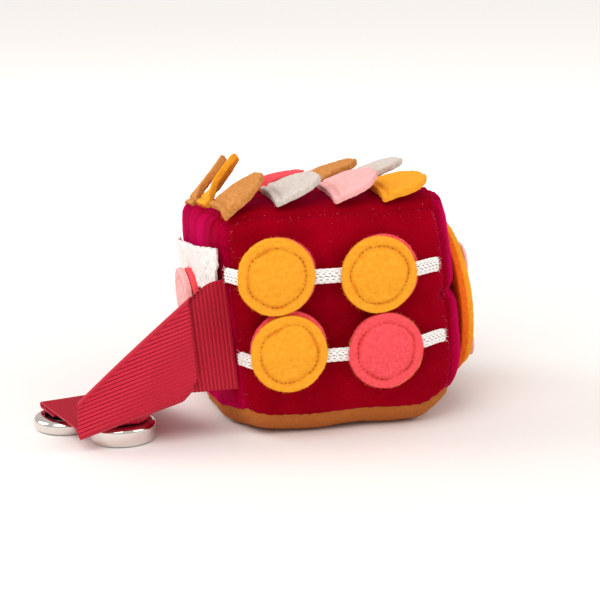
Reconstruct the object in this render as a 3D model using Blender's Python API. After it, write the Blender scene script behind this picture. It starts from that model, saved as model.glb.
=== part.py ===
"""A soft fabric activity block: a stuffed velvet cube with felt beads sliding on knitted cords, twelve felt
flaps, a felt rosette, a knitted band and a folded ribbon strap with a magnetic clasp.

Metres, +Z up. The front faces -Y and the origin is the centre of the face it rests on."""
import bmesh
import bpy
from math import atan2, cos, exp, pi, radians, sin, sqrt
from mathutils import Vector

MM = 0.001

# Gaps, and the fineness of the meshes
CLEAR = 0.3 * MM
WELD_DISTANCE = 0.003 * MM
SHARP_ANGLE = radians(35)
SEAM_GAP = 0.4 * MM

# Stuffed cube, measured over its crowned faces
BLOCK_WIDTH = 82.0 * MM
BLOCK_HEIGHT = 81.0 * MM
BASE_FLAT_DEPTH = 0.5 * MM
SQUARENESS = 7.0
PANEL_THICK = 1.8 * MM
STUFFING_CLEAR = 0.7 * MM
BOTTOM_SEAM_SHARE = 0.84
LEAN_SHARE = 0.1
SINK_LEFT = 6.0 * MM
SINK_LEFT_START = 10.0 * MM
SINK_LEFT_RUN = 28.0 * MM
SINK_LEFT_DEPTH = 50.0 * MM
SINK_BACK = 7.0 * MM
SINK_BACK_START = 2.0 * MM
SINK_BACK_RUN = 24.0 * MM
SINK_POWER = 5
RIGHT_BULGE = 5.0 * MM
BULGE_RISE_POWER = 3
BULGE_FALL_POWER = 4
RIGHT_TUCK = 3.0 * MM
RIGHT_TUCK_HEIGHT = 24.0 * MM
PANEL_CELLS = 12
CORE_CELLS = 10

# Knitted cords, flat in section
CORD_WIDTH = 5.5 * MM
CORD_THICK = 3.0 * MM
CORD_BEND_RADIUS = 4.0 * MM
CORD_TAIL = 1.7 * MM
LONG_END_BEND_ANGLE = radians(115)
LONG_END_INSET = 2.2 * MM
SHORT_END_BEND_ANGLE = radians(90)
SHORT_END_INSET = 8.0 * MM
UPPER_CORD_HEIGHT = 57.3 * MM
LOWER_CORD_HEIGHT = 31.0 * MM
SIDE_CORD_HEIGHT = 39.4 * MM
CORD_RING_POINTS = 10
CORD_BEND_STEPS = 7
CORD_RUN_STEPS = 4

# Felt, and the bead discs sewn from two layers of it
FELT_THICK = 2.5 * MM
DISC_DIAMETER = 26.0 * MM
DISC_LAYER_GAP = 0.3 * MM
DISC_CHANNEL_RISE = 1.75 * MM
DISC_CHANNEL_WIDTH = 3.2 * MM
DISC_LEVELS = 24
UPPER_LEFT_PLACE = -23.0 * MM
UPPER_RIGHT_PLACE = 12.0 * MM
LOWER_LEFT_PLACE = -21.6 * MM
LOWER_RIGHT_PLACE = 11.9 * MM
SIDE_DISC_PLACE = 0.0 * MM
RAISED_DISC_LIFT = 0.6 * MM
LOWERED_DISC_LIFT = -0.7 * MM
BACK_LAYER_SHIFTS = {
    "upper_left_disc": 1.2 * MM,
    "upper_right_disc": 1.7 * MM,
    "lower_right_disc": 1.0 * MM,
}

# Felt flaps on the top, in three rows of four
FLAP_WIDTH = 23.5 * MM
FLAP_LENGTH = 18.5 * MM
TWISTED_FLAP_LENGTH = 20.5 * MM
FLAP_SHOULDER_SHARE = 0.45
FLAP_TIP_POWER = 2.2
FLAP_CUP = 0.8 * MM
FLAP_ROW_PITCH = 25.6 * MM
FLAP_PLACES = (-39.2 * MM, -21.9 * MM, -1.9 * MM, 14.9 * MM)
FLAP_ROWS = ("front", "middle", "back")
FLAP_TILTS = {
    "front": (33, 17, 17, 10),
    "middle": (52, 10, 17, 16),
    "back": (50, 9, 14, 7),
}
FLAP_TWIST = radians(11)
TWISTED_FLAPS = ("middle_flap_1", "back_flap_1")
FLAP_DROOP_SHARE = 0.48
FLAP_TIP_DROOP_SHARE = 0.5
LEAF_END_SHARE = 0.996
FLAP_LENGTH_CELLS = 8
FLAP_WIDTH_CELLS = 4

# Felt rosette on the right side
ROSETTE_DIAMETER = 60.0 * MM
ROSETTE_TOP_DIAMETER = 56.0 * MM
ROSETTE_FLARE = 0.3 * MM
ROSETTE_HEIGHT = 37.5 * MM
ROSETTE_DEPTH_OFFSET = 3.0 * MM
ROSETTE_SEGMENTS = 28
ROSETTE_RINGS = 4
PETAL_ROOT_RADIUS = 9.0 * MM
PETAL_LENGTH = 18.0 * MM
PETAL_WIDTH = 14.8 * MM
PETAL_THICK = 1.2 * MM
PETAL_TILT = radians(1)
PETAL_COUNT = 4
PETAL_CLEAR = 0.3 * MM
PETAL_LENGTH_CELLS = 6
PETAL_WIDTH_CELLS = 4

# Knitted band across the left side
BAND_WIDTH = 14.5 * MM
BAND_THICK = 1.4 * MM
BAND_HEIGHT = 54.6 * MM
BAND_SLOPE_SHARE = -0.1
BAND_END_SHARE = 0.88
BAND_CELLS = 12
BAND_WIDTH_CELLS = 2

# Grosgrain ribbon strap, one 38 mm ribbon folded twice and hemmed
RIBBON_WIDTH = 38.0 * MM
RIBBON_THICK = 0.6 * MM
RIBBON_LOW_EDGE = 17.8 * MM
RIBBON_ROOT_OUT = 0.9 * MM
RIBBON_ROOT_BACK = -0.6 * MM
RIBBON_FIRST_RUN = 12.5 * MM
RIBBON_DIAGONAL_RADIUS = 0.95 * MM
RIBBON_LOW_FOLD_HEIGHT = 6.5 * MM
RIBBON_LOW_FOLD_RISE = 14.0 * MM
RIBBON_LOW_FOLD_RADIUS = 2.0 * MM
RIBBON_LOW_FOLD_ANGLE = radians(100)
RIBBON_BACK_RUN = 39.0 * MM
RIBBON_BACK_YAW = radians(14.5)
RIBBON_SETTLE_RUN = 4.3 * MM
RIBBON_CURL_SHARE = 0.62
RIBBON_CURL_FALL_SHARE = 0.23
RIBBON_HEM = 12.5 * MM
RIBBON_HEM_ROWS = 2
RIBBON_CELLS = 8
RIBBON_RUN_ROWS = 5
RIBBON_ROLL_ROWS = 6
RIBBON_BACK_ROWS = 18

# Magnetic clasp halves under the strap
CLASP_DIAMETER = 23.0 * MM
NEAR_CLASP_HEIGHT = 6.6 * MM
FAR_CLASP_HEIGHT = 4.6 * MM
CLASP_WALL = 0.7 * MM
CLASP_ROUND = 1.4 * MM
CLASP_BORE_DIAMETER = 15.0 * MM
CLASP_SEGMENTS = 32
CLASP_ROUND_STEPS = 4
MAGNET_DIAMETER = 18.0 * MM
MAGNET_HEIGHT = 2.6 * MM
WASHER_DIAMETER = 9.0 * MM
WASHER_THICK = 0.5 * MM
NEAR_CLASP_RUN = 9.0 * MM
FAR_CLASP_RUN = 31.0 * MM
FAR_CLASP_SHIFT = 12.0 * MM

# Worked out from the sizes above
HALF_WIDTH = BLOCK_WIDTH / 2
HALF_HEIGHT = BLOCK_HEIGHT / 2
CENTRE_HEIGHT = HALF_HEIGHT - BASE_FLAT_DEPTH
SEAM_SHARE = 0.5 ** (1 / SQUARENESS)
SEAM_REACH = HALF_WIDTH * SEAM_SHARE
DISC_RADIUS = DISC_DIAMETER / 2
CHANNEL_HALF = DISC_LAYER_GAP / 2 + DISC_CHANNEL_RISE
CORD_REACH = HALF_WIDTH + CLEAR + FELT_THICK + CHANNEL_HALF
LONG_END = (SEAM_REACH - LONG_END_INSET, LONG_END_BEND_ANGLE)
SHORT_END = (SEAM_REACH - SHORT_END_INSET, SHORT_END_BEND_ANGLE)

COLOURS = {
    "velvet": ((0.38, 0.0, 0.012), 0.85, 0.0),
    "tan cloth": ((0.51, 0.168, 0.038), 0.9, 0.0),
    "stuffing": ((0.85, 0.83, 0.8), 0.95, 0.0),
    "white knit": ((0.93, 0.9, 0.86), 0.9, 0.0),
    "marigold felt": ((0.98, 0.41, 0.028), 0.95, 0.0),
    "orange felt": ((1.0, 0.17, 0.013), 0.95, 0.0),
    "coral felt": ((0.96, 0.09, 0.11), 0.95, 0.0),
    "tan felt": ((0.68, 0.28, 0.07), 0.95, 0.0),
    "grey felt": ((0.68, 0.61, 0.56), 0.95, 0.0),
    "pink felt": ((0.97, 0.49, 0.48), 0.95, 0.0),
    "ribbon": ((0.58, 0.01, 0.035), 0.5, 0.0),
    "chrome": ((0.8, 0.79, 0.77), 0.08, 1.0),
    "magnet": ((0.12, 0.12, 0.13), 0.4, 1.0),
    "steel": ((0.55, 0.54, 0.52), 0.3, 1.0),
}


def clear_scene():
    for thing in list(bpy.data.objects):
        bpy.data.objects.remove(thing, do_unlink=True)


def material(name):
    found = bpy.data.materials.get(name)
    if found:
        return found
    colour, roughness, metallic = COLOURS[name]
    made = bpy.data.materials.new(name)
    made.use_nodes = True
    shader = made.node_tree.nodes["Principled BSDF"]
    shader.inputs["Base Color"].default_value = (*colour, 1)
    shader.inputs["Roughness"].default_value = roughness
    shader.inputs["Metallic"].default_value = metallic
    return made


def add_object(name, shape, finish, origin):
    """One named object from a shape in world places, with its origin where its joint is."""
    bmesh.ops.remove_doubles(shape, verts=shape.verts, dist=WELD_DISTANCE)
    bmesh.ops.recalc_face_normals(shape, faces=shape.faces)
    if shape.calc_volume(signed=True) < 0:
        bmesh.ops.reverse_faces(shape, faces=shape.faces)
    for v in shape.verts:
        v.co -= Vector(origin)
    mesh = bpy.data.meshes.new(name)
    shape.to_mesh(mesh)
    shape.free()
    mesh.shade_smooth()
    mesh.set_sharp_from_angle(angle=SHARP_ANGLE)
    mesh.materials.append(material(finish))
    thing = bpy.data.objects.new(name, mesh)
    thing.location = origin
    bpy.context.collection.objects.link(thing)


def add_mesh(name, points, faces, finish, origin=(0, 0, 0)):
    shape = bmesh.new()
    verts = [shape.verts.new(p) for p in points]
    for face in faces:
        shape.faces.new([verts[k] for k in face])
    add_object(name, shape, finish, origin)


def closed_grid(name, outer, inner, finish, origin=(0, 0, 0)):
    """A closed body between two grids of points of the same size."""
    rows = len(outer)
    columns = len(outer[0])
    points = [p for row in outer for p in row] + [p for row in inner for p in row]
    layer = rows * columns
    faces = []
    for i in range(rows - 1):
        for j in range(columns - 1):
            a = i * columns + j
            quad = (a, a + 1, a + columns + 1, a + columns)
            faces.append(quad)
            faces.append(tuple(k + layer for k in reversed(quad)))
    rim = [(0, j) for j in range(columns)]
    rim += [(i, columns - 1) for i in range(1, rows)]
    rim += [(rows - 1, j) for j in reversed(range(columns - 1))]
    rim += [(i, 0) for i in reversed(range(1, rows - 1))]
    edge = [i * columns + j for i, j in rim]
    for a, b in zip(edge, edge[1:] + edge[:1]):
        faces.append((a, a + layer, b + layer, b))
    add_mesh(name, points, faces, finish, origin)


def sheet(name, rows, thick, finish, origin=(0, 0, 0)):
    """A sheet of cloth or felt: a grid of points given its thickness to both sides."""
    outer = []
    inner = []
    for i, row in enumerate(rows):
        outer.append([])
        inner.append([])
        for j, p in enumerate(row):
            along = rows[min(i + 1, len(rows) - 1)][j] - rows[max(i - 1, 0)][j]
            across = row[min(j + 1, len(row) - 1)] - row[max(j - 1, 0)]
            normal = along.cross(across).normalized()
            outer[-1].append(p + normal * (thick / 2))
            inner[-1].append(p - normal * (thick / 2))
    closed_grid(name, outer, inner, finish, origin)


def spread(low, high, cells):
    """Grid values from low to high that crowd towards both ends."""
    middle = (low + high) / 2
    half = (high - low) / 2
    return [middle + half * sin(pi * (k / cells - 0.5)) for k in range(cells + 1)]


def even(low, high, cells):
    return [low + (high - low) * k / cells for k in range(cells + 1)]


def smooth_step(t):
    t = min(max(t, 0), 1)
    return t * t * (3 - 2 * t)


def lean(height):
    """How far the soft cube leans to the left at a height."""
    return -LEAN_SHARE * (height - CENTRE_HEIGHT)


def sink(x, y, height):
    """How far the soft top has sunk at a place, along its left edge and along its back."""
    left = smooth_step((-x - SINK_LEFT_START) / SINK_LEFT_RUN)
    left *= smooth_step((y + HALF_WIDTH) / SINK_LEFT_DEPTH)
    back = smooth_step((y - SINK_BACK_START) / SINK_BACK_RUN)
    fade = max(height / BLOCK_HEIGHT, 0) ** SINK_POWER
    return (SINK_LEFT * left + SINK_BACK * back) * fade


def bulge(x, y, height):
    """How far the stuffing pushes the right side out at a place. Its foot tucks in instead."""
    across = max(x / HALF_WIDTH, 0) ** BULGE_RISE_POWER
    deep = max(1 - abs(y / HALF_WIDTH) ** BULGE_FALL_POWER, 0)
    tall = max(1 - abs((height - CENTRE_HEIGHT) / HALF_HEIGHT) ** BULGE_FALL_POWER, 0)
    low = smooth_step((RIGHT_TUCK_HEIGHT - height) / RIGHT_TUCK_HEIGHT)
    return across * (RIGHT_BULGE * deep * tall - RIGHT_TUCK * low)


def block_point(a, b, c, grow=0.0):
    """The point of the crowned, round-edged cube in the direction (a, b, c), moved out by grow."""
    norm = (abs(a) ** SQUARENESS + abs(b) ** SQUARENESS + abs(c) ** SQUARENESS) ** (1 / SQUARENESS)
    height = CENTRE_HEIGHT + (HALF_HEIGHT + grow) * c / norm
    reach = (HALF_WIDTH + grow) / norm
    x = reach * a
    y = reach * b
    return Vector((x + bulge(x, y, height) + lean(height), y, height - sink(x, y, height)))


def direction_at(along, height_share):
    """The third part of a direction whose height is this share of the half height."""
    whole = 1 + abs(along) ** SQUARENESS
    flat = abs(height_share) ** SQUARENESS
    size = abs(height_share) * (whole / (1 - flat)) ** (1 / SQUARENESS)
    return size if height_share > 0 else -size


def crown_height(x, y):
    """Height of the unsunk top over a place, with the lean taken off x first."""
    across = min(abs(x) / HALF_WIDTH, 1)
    deep = min(abs(y) / HALF_WIDTH, 1)
    left = max(1 - across ** SQUARENESS - deep ** SQUARENESS, 0)
    return CENTRE_HEIGHT + HALF_HEIGHT * left ** (1 / SQUARENESS)


def build_cube():
    """Six sewn panels with a hairline between them at each seam, round a stuffed core."""
    gap = SEAM_GAP / HALF_WIDTH
    side = spread(-1 + gap, 1 - gap, PANEL_CELLS)
    rise = spread(-BOTTOM_SEAM_SHARE + gap, 1 - gap, PANEL_CELLS)
    under = spread(-1 / BOTTOM_SEAM_SHARE + gap, 1 / BOTTOM_SEAM_SHARE - gap, PANEL_CELLS)
    panels = {
        "front_panel": [[(a, -1, c) for a in side] for c in rise],
        "back_panel": [[(a, 1, c) for a in side] for c in rise],
        "left_panel": [[(-1, b, c) for b in side] for c in rise],
        "right_panel": [[(1, b, c) for b in side] for c in rise],
        "top_panel": [[(a, b, 1) for a in side] for b in side],
        "bottom_panel": [[(a, b, -1) for a in under] for b in under],
    }
    for name, directions in panels.items():
        outer = [[block_point(*d) for d in row] for row in directions]
        inner = [[block_point(*d, grow=-PANEL_THICK) for d in row] for row in directions]
        if name == "bottom_panel":
            for p in [p for row in outer for p in row]:
                p.z = max(p.z, 0)
            closed_grid(name, outer, inner, "tan cloth")
        else:
            closed_grid(name, outer, inner, "velvet")
    build_core()


def build_core():
    """The stuffing, one body that fills the panels."""
    shape = bmesh.new()
    bmesh.ops.create_cube(shape, size=2)
    bmesh.ops.subdivide_edges(shape, edges=shape.edges, cuts=CORE_CELLS - 1, use_grid_fill=True)
    grow = -PANEL_THICK - STUFFING_CLEAR
    for v in shape.verts:
        direction = [sin(pi / 2 * part) for part in v.co]
        v.co = block_point(*direction, grow=grow)
    add_object("stuffing", shape, "stuffing", (0, 0, 0))


def cord_end(run, bend_angle):
    """One end of a cord's centre line as (along, out) pairs, from inside the cube out to the straight."""
    bend = []
    for k in range(CORD_BEND_STEPS + 1):
        angle = bend_angle * (1 - k / CORD_BEND_STEPS)
        bend.append((run + CORD_BEND_RADIUS * sin(angle), CORD_REACH - CORD_BEND_RADIUS * (1 - cos(angle))))
    tail = (bend[0][0] + CORD_TAIL * cos(bend_angle), bend[0][1] - CORD_TAIL * sin(bend_angle))
    return [tail] + bend


def build_cord(name, height, face, left_end, right_end):
    """A flat cord across a face: the front with face (1, 0), the left side with face (0, 1)."""
    straight = [(x, CORD_REACH) for x in even(-left_end[0], right_end[0], CORD_RUN_STEPS)[1:-1]]
    left = [(-along, out) for along, out in cord_end(*left_end)]
    route = left + straight + list(reversed(cord_end(*right_end)))
    rings = []
    for i, (along, out) in enumerate(route):
        before = route[max(i - 1, 0)]
        after = route[min(i + 1, len(route) - 1)]
        run = Vector((after[0] - before[0], after[1] - before[1])).normalized()
        ring = []
        for k in range(CORD_RING_POINTS):
            angle = 2 * pi * k / CORD_RING_POINTS
            lift = CORD_WIDTH / 2 * sin(angle)
            side = CORD_THICK / 2 * cos(angle)
            ring.append(face_point(along - side * run.y, out + side * run.x, height + lift, height, face))
        rings.append(ring)
    points = [p for ring in rings for p in ring]
    faces = []
    for i in range(len(rings) - 1):
        for k in range(CORD_RING_POINTS):
            a = i * CORD_RING_POINTS + k
            b = i * CORD_RING_POINTS + (k + 1) % CORD_RING_POINTS
            faces.append((a, b, b + CORD_RING_POINTS, a + CORD_RING_POINTS))
    faces.append(tuple(range(CORD_RING_POINTS)))
    faces.append(tuple(range(len(points) - CORD_RING_POINTS, len(points))))
    add_mesh(name, points, faces, "white knit")


def face_point(along, out, height, carrier_height, face):
    """A place on the front or the left side, from its distance along the face and out of the cube."""
    across, deep = face
    shift = across * lean(carrier_height) + deep * lean(height)
    return Vector((across * along - deep * out + shift, deep * along - across * out, height))


def build_disc(name, place, cord_height, lift_over_cord, face, front_finish, back_finish, layer_names):
    """Two felt layers with a channel between them for the cord. Both turn up in one body."""
    middle = cord_height + lift_over_cord
    centre = face_point(place, CORD_REACH, middle, cord_height, face)
    for side, finish, layer in ((1, front_finish, layer_names[0]), (-1, back_finish, layer_names[1])):
        layer_place = place if side > 0 else place + BACK_LAYER_SHIFTS.get(name, 0)
        near = []
        far = []
        for level in even(-pi / 2, pi / 2, DISC_LEVELS)[1:-1]:
            lift = DISC_RADIUS * sin(level)
            half_chord = DISC_RADIUS * cos(level)
            from_cord = (lift + lift_over_cord) / DISC_CHANNEL_WIDTH
            rise = DISC_LAYER_GAP / 2 + DISC_CHANNEL_RISE * exp(-(from_cord ** 2))
            for rows, out in ((near, rise), (far, rise + FELT_THICK)):
                reach = CORD_REACH + side * out
                ends = []
                for end in (layer_place - half_chord, layer_place + half_chord):
                    ends.append(face_point(end, reach, middle + lift, cord_height, face))
                rows.append(ends)
        closed_grid(f"{name}_{layer}", far, near, finish, centre)


def build_discs():
    layers = ("front", "back")
    upper = (
        ("upper_left_disc", UPPER_LEFT_PLACE, RAISED_DISC_LIFT),
        ("upper_right_disc", UPPER_RIGHT_PLACE, LOWERED_DISC_LIFT),
    )
    lower = (
        ("lower_left_disc", LOWER_LEFT_PLACE, RAISED_DISC_LIFT),
        ("lower_right_disc", LOWER_RIGHT_PLACE, LOWERED_DISC_LIFT),
    )
    for height, pair in ((UPPER_CORD_HEIGHT, upper), (LOWER_CORD_HEIGHT, lower)):
        for name, place, lift in pair:
            finishes = ("marigold felt", "coral felt")
            if name == "lower_right_disc":
                finishes = ("coral felt", "marigold felt")
            build_disc(name, place, height, lift, (1, 0), *finishes, layers)
    layers = ("outer", "inner")
    build_disc("side_disc", SIDE_DISC_PLACE, SIDE_CORD_HEIGHT, 0, (0, 1), "pink felt", "coral felt", layers)


def leaf_half_width(t, width):
    """Half the width of a flap or petal at a share of its length: straight sides, then a round point."""
    if t <= FLAP_SHOULDER_SHARE:
        return width / 2
    beyond = (t - FLAP_SHOULDER_SHARE) / (1 - FLAP_SHOULDER_SHARE)
    return width / 2 * sqrt(1 - beyond ** FLAP_TIP_POWER)


def leaf_shares(cells):
    """Shares of a leaf's length, close together towards its tip and stopping just short of it."""
    return [LEAF_END_SHARE * sin(pi / 2 * k / cells) for k in range(cells + 1)]


def flap_seat(row, column):
    """Where a flap's root lies: its middle, and how fast the root rises towards the front."""
    x = FLAP_PLACES[column]
    y = (row - 1) * FLAP_ROW_PITCH
    seat_x = x - lean(CENTRE_HEIGHT + HALF_HEIGHT)
    offsets = even(-FLAP_WIDTH / 2, FLAP_WIDTH / 2, FLAP_WIDTH_CELLS)
    sunk = [sink(seat_x, y + off, crown_height(seat_x, y + off)) for off in offsets]
    rise = (sunk[-1] - sunk[0]) / FLAP_WIDTH
    lowest = min(depth - rise * off for depth, off in zip(sunk, offsets))
    return Vector((x, y, crown_height(seat_x, y) - lowest + CLEAR)), seat_x, rise


def build_flap(name, row, column, finish):
    """One felt flap, sewn down along its base and raised towards the right."""
    root, seat_x, rise = flap_seat(row, column)
    tilt = radians(FLAP_TILTS[FLAP_ROWS[row]][column])
    twisted = name in TWISTED_FLAPS
    twist = FLAP_TWIST if twisted else 0.0
    length = TWISTED_FLAP_LENGTH if twisted else FLAP_LENGTH
    lift = Vector((-sin(tilt), 0, cos(tilt))) * (FELT_THICK / 2)
    rows = []
    for t in leaf_shares(FLAP_LENGTH_CELLS):
        half = leaf_half_width(t, FLAP_WIDTH)
        turn = twist * smooth_step(t / FLAP_SHOULDER_SHARE)
        centre = root + Vector((length * t * cos(tilt), 0, length * t * sin(tilt)))
        across = Vector((-sin(turn), -cos(turn), sin(turn) * cos(tilt) + rise))
        points = []
        for v in even(-1, 1, FLAP_WIDTH_CELLS):
            drop = crown_height(seat_x, root.y) - crown_height(seat_x, root.y - v * half)
            drop *= FLAP_DROOP_SHARE * (1 - (1 - FLAP_TIP_DROOP_SHARE) * t)
            cup = FLAP_CUP * t * v * v
            points.append(centre + across * (v * half) + lift + Vector((0, 0, cup - drop)))
        rows.append(points)
    sheet(name, rows, FELT_THICK, finish, root)


def build_flaps():
    finishes = {
        "front": ("tan felt", "grey felt", "pink felt", "marigold felt"),
        "middle": ("marigold felt", "coral felt", "tan felt", "grey felt"),
        "back": ("tan felt", "grey felt", "pink felt", "coral felt"),
    }
    for row, row_name in enumerate(FLAP_ROWS):
        for column, finish in enumerate(finishes[row_name]):
            build_flap(f"{row_name}_flap_{column + 1}", row, column, finish)


def rosette_point(radius, angle, out):
    """A place on the right side round the rosette's centre, whose rim flares a little from the cube."""
    flare = ROSETTE_FLARE * (radius / (ROSETTE_DIAMETER / 2)) ** 3
    height = ROSETTE_HEIGHT + radius * sin(angle)
    x = HALF_WIDTH + RIGHT_BULGE + CLEAR + out + flare + lean(height)
    return Vector((x, ROSETTE_DEPTH_OFFSET + radius * cos(angle), height))


def build_rosette_layer(name, diameter, out, finish):
    """A round felt layer, dished towards its rim."""
    points = []
    faces = []
    radii = even(0, diameter / 2, ROSETTE_RINGS)[1:]
    for side in (0, 1):
        points.append(rosette_point(0, 0, out + side * FELT_THICK))
        for radius in radii:
            for k in range(ROSETTE_SEGMENTS):
                angle = 2 * pi * k / ROSETTE_SEGMENTS
                points.append(rosette_point(radius, angle, out + side * FELT_THICK))
    layer = 1 + ROSETTE_RINGS * ROSETTE_SEGMENTS
    for side in (0, 1):
        start = side * layer
        for k in range(ROSETTE_SEGMENTS):
            following = (k + 1) % ROSETTE_SEGMENTS
            faces.append((start, start + 1 + k, start + 1 + following))
            for ring in range(ROSETTE_RINGS - 1):
                a = start + 1 + ring * ROSETTE_SEGMENTS
                b = a + ROSETTE_SEGMENTS
                faces.append((a + k, b + k, b + following, a + following))
    rim = layer - ROSETTE_SEGMENTS
    for k in range(ROSETTE_SEGMENTS):
        following = (k + 1) % ROSETTE_SEGMENTS
        faces.append((rim + k, rim + following, rim + following + layer, rim + k + layer))
    add_mesh(name, points, faces, finish)


def build_petal(number, finish):
    """A felt petal on the rosette, sewn down at its root beside the centre."""
    angle = pi / 4 + 2 * pi * number / PETAL_COUNT
    out = 2 * FELT_THICK + CLEAR + PETAL_CLEAR
    radial = Vector((0, cos(angle), sin(angle)))
    across = Vector((0, -sin(angle), cos(angle)))
    rows = []
    for t in leaf_shares(PETAL_LENGTH_CELLS):
        radius = PETAL_ROOT_RADIUS + PETAL_LENGTH * t
        half = leaf_half_width(t, PETAL_WIDTH)
        row = []
        for v in even(-1, 1, PETAL_WIDTH_CELLS):
            reach = radial * radius + across * (v * half)
            around = atan2(reach.z, reach.y)
            lift = PETAL_LENGTH * t * sin(PETAL_TILT)
            row.append(rosette_point(reach.length, around, out + PETAL_THICK / 2 + lift))
        rows.append(row)
    root = rosette_point(PETAL_ROOT_RADIUS, angle, out)
    sheet(f"petal_{number + 1}", rows, PETAL_THICK, finish, root)


def build_rosette():
    build_rosette_layer("rosette_base", ROSETTE_DIAMETER, 0, "orange felt")
    build_rosette_layer("rosette_top", ROSETTE_TOP_DIAMETER, FELT_THICK + CLEAR, "marigold felt")
    for number, finish in enumerate(("pink felt",) * PETAL_COUNT):
        build_petal(number, finish)


def build_band():
    """The knitted band that follows the left side between its two seams, lower towards the back."""
    outer = []
    inner = []
    for height in even(BAND_HEIGHT - BAND_WIDTH / 2, BAND_HEIGHT + BAND_WIDTH / 2, BAND_WIDTH_CELLS):
        outer.append([])
        inner.append([])
        for b in spread(-BAND_END_SHARE, BAND_END_SHARE, BAND_CELLS):
            sloped = height + BAND_SLOPE_SHARE * HALF_WIDTH * b
            c = direction_at(b, (sloped - CENTRE_HEIGHT) / HALF_HEIGHT)
            outer[-1].append(block_point(-1, b, c, grow=CLEAR + BAND_THICK))
            inner[-1].append(block_point(-1, b, c, grow=CLEAR))
    closed_grid("side_band", outer, inner, "white knit")


def roll_rows(ends, along, beyond, rise, radius, angle):
    """Rows of a ribbon rolled round a fold line. Along is how its selvages run on as it turns."""
    rows = []
    for k in range(1, RIBBON_ROLL_ROWS + 1):
        turn = angle * k / RIBBON_ROLL_ROWS
        shift = along * (radius * turn) + beyond * (radius * sin(turn)) + rise * (radius * (1 - cos(turn)))
        rows.append([end + shift for end in ends])
    return rows


def between(first, last, count):
    """Rows from one row of points to another, without the first."""
    return [[a.lerp(b, k / count) for a, b in zip(first, last)] for k in range(1, count + 1)]


def ribbon_root(height):
    """Where the ribbon comes out of the front left seam, which leans with the cube."""
    x = -SEAM_REACH + lean(height) - RIBBON_ROOT_OUT
    return Vector((x, -SEAM_REACH - RIBBON_ROOT_BACK, height))


def strap_hinge():
    """The foot of the upright line that the strap swings about, at the middle of its root."""
    root = ribbon_root(RIBBON_LOW_EDGE + RIBBON_WIDTH / 2)
    return Vector((root.x, root.y, 0))


def ribbon_back_frame():
    """Where the ribbon's third run starts on its near selvage, and the way it goes."""
    hinge = strap_hinge()
    left = hinge.x - RIBBON_FIRST_RUN - RIBBON_WIDTH - pi * RIBBON_DIAGONAL_RADIUS / sqrt(2)
    depth = hinge.y - 2 * RIBBON_DIAGONAL_RADIUS
    near = Vector((left, depth, RIBBON_LOW_FOLD_HEIGHT))
    way = Vector((-sin(RIBBON_BACK_YAW), cos(RIBBON_BACK_YAW), 0))
    return near, way


def ribbon_row(low, high):
    """Points across the ribbon from its low or near selvage to its high or far one."""
    return [low.lerp(high, share) for share in even(0, 1, RIBBON_CELLS)]


def ribbon_rows():
    """Rows of points across the strap, from its root to its hem."""
    low = ribbon_root(RIBBON_LOW_EDGE)
    high = ribbon_root(RIBBON_LOW_EDGE + RIBBON_WIDTH)
    rows = [ribbon_row(low, high)]
    diagonal = Vector((-1, 0, -1)).normalized()
    fold_x = strap_hinge().x - RIBBON_FIRST_RUN
    fold = ribbon_row(Vector((fold_x - RIBBON_WIDTH, low.y, low.z)), Vector((fold_x, high.y, high.z)))
    rows += between(rows[-1], fold, RIBBON_RUN_ROWS)
    outward = Vector((-1, 0, 1)).normalized()
    front = Vector((0, -1, 0))
    rows += roll_rows(fold, diagonal, outward, front, RIBBON_DIAGONAL_RADIUS, pi)
    start = rows[-1]
    near = Vector((start[0].x, start[0].y, RIBBON_LOW_FOLD_HEIGHT))
    far = Vector((start[-1].x, start[-1].y, RIBBON_LOW_FOLD_HEIGHT + RIBBON_LOW_FOLD_RISE))
    rows += between(start, ribbon_row(near, far), RIBBON_RUN_ROWS)
    edge = (near - far).normalized()
    down = Vector((-edge.z, 0, edge.x))
    rows += roll_rows(rows[-1], Vector(), down, -front, RIBBON_LOW_FOLD_RADIUS, RIBBON_LOW_FOLD_ANGLE)
    return rows + back_rows(rows[-1])


def back_rows(start):
    """The third run, which lies over the near clasp and then the far one and ends in a turned-under hem.

    Its far selvage comes down more slowly, so the ribbon curls up on that side."""
    way = ribbon_back_frame()[1]
    near_height = NEAR_CLASP_HEIGHT + CLEAR + RIBBON_THICK / 2
    hem_height = FAR_CLASP_HEIGHT + CLEAR + RIBBON_THICK / 2
    far_height = hem_height + RIBBON_THICK + WASHER_THICK + 2 * CLEAR
    rise_from = NEAR_CLASP_RUN + WASHER_DIAMETER / 2
    rise_over = FAR_CLASP_RUN - WASHER_DIAMETER / 2 - rise_from
    side = Vector((way.y, -way.x, 0)) * RIBBON_WIDTH
    near_end = Vector((start[0].x, start[0].y, 0)) + way * RIBBON_BACK_RUN
    flat_ends = ribbon_row(near_end, near_end + side)
    curls = []
    for v in even(0, 1, RIBBON_CELLS):
        curls.append(smooth_step((v - RIBBON_CURL_SHARE) / (1 - RIBBON_CURL_SHARE)))
    rows = []
    for k in range(1, RIBBON_BACK_ROWS + 1):
        share = k / RIBBON_BACK_ROWS
        run = share * RIBBON_BACK_RUN
        settled = smooth_step(run / RIBBON_SETTLE_RUN)
        carried = near_height + (far_height - near_height) * smooth_step((run - rise_from) / rise_over)
        row = []
        for begin, end, curl in zip(start, flat_ends, curls):
            flat = begin.lerp(end, share)
            hung = begin.z - RIBBON_CURL_FALL_SHARE * run
            height = carried + curl * (hung - carried)
            row.append(Vector((flat.x, flat.y, begin.z + (height - begin.z) * settled)))
        rows.append(row)
    radius = (far_height - hem_height) / 2
    down = Vector((0, 0, -1))
    rows += roll_rows(rows[-1], Vector(), way, down, radius, pi)
    hem = [p - way * RIBBON_HEM for p in rows[-1]]
    return rows + between(rows[-1], hem, RIBBON_HEM_ROWS)


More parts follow.
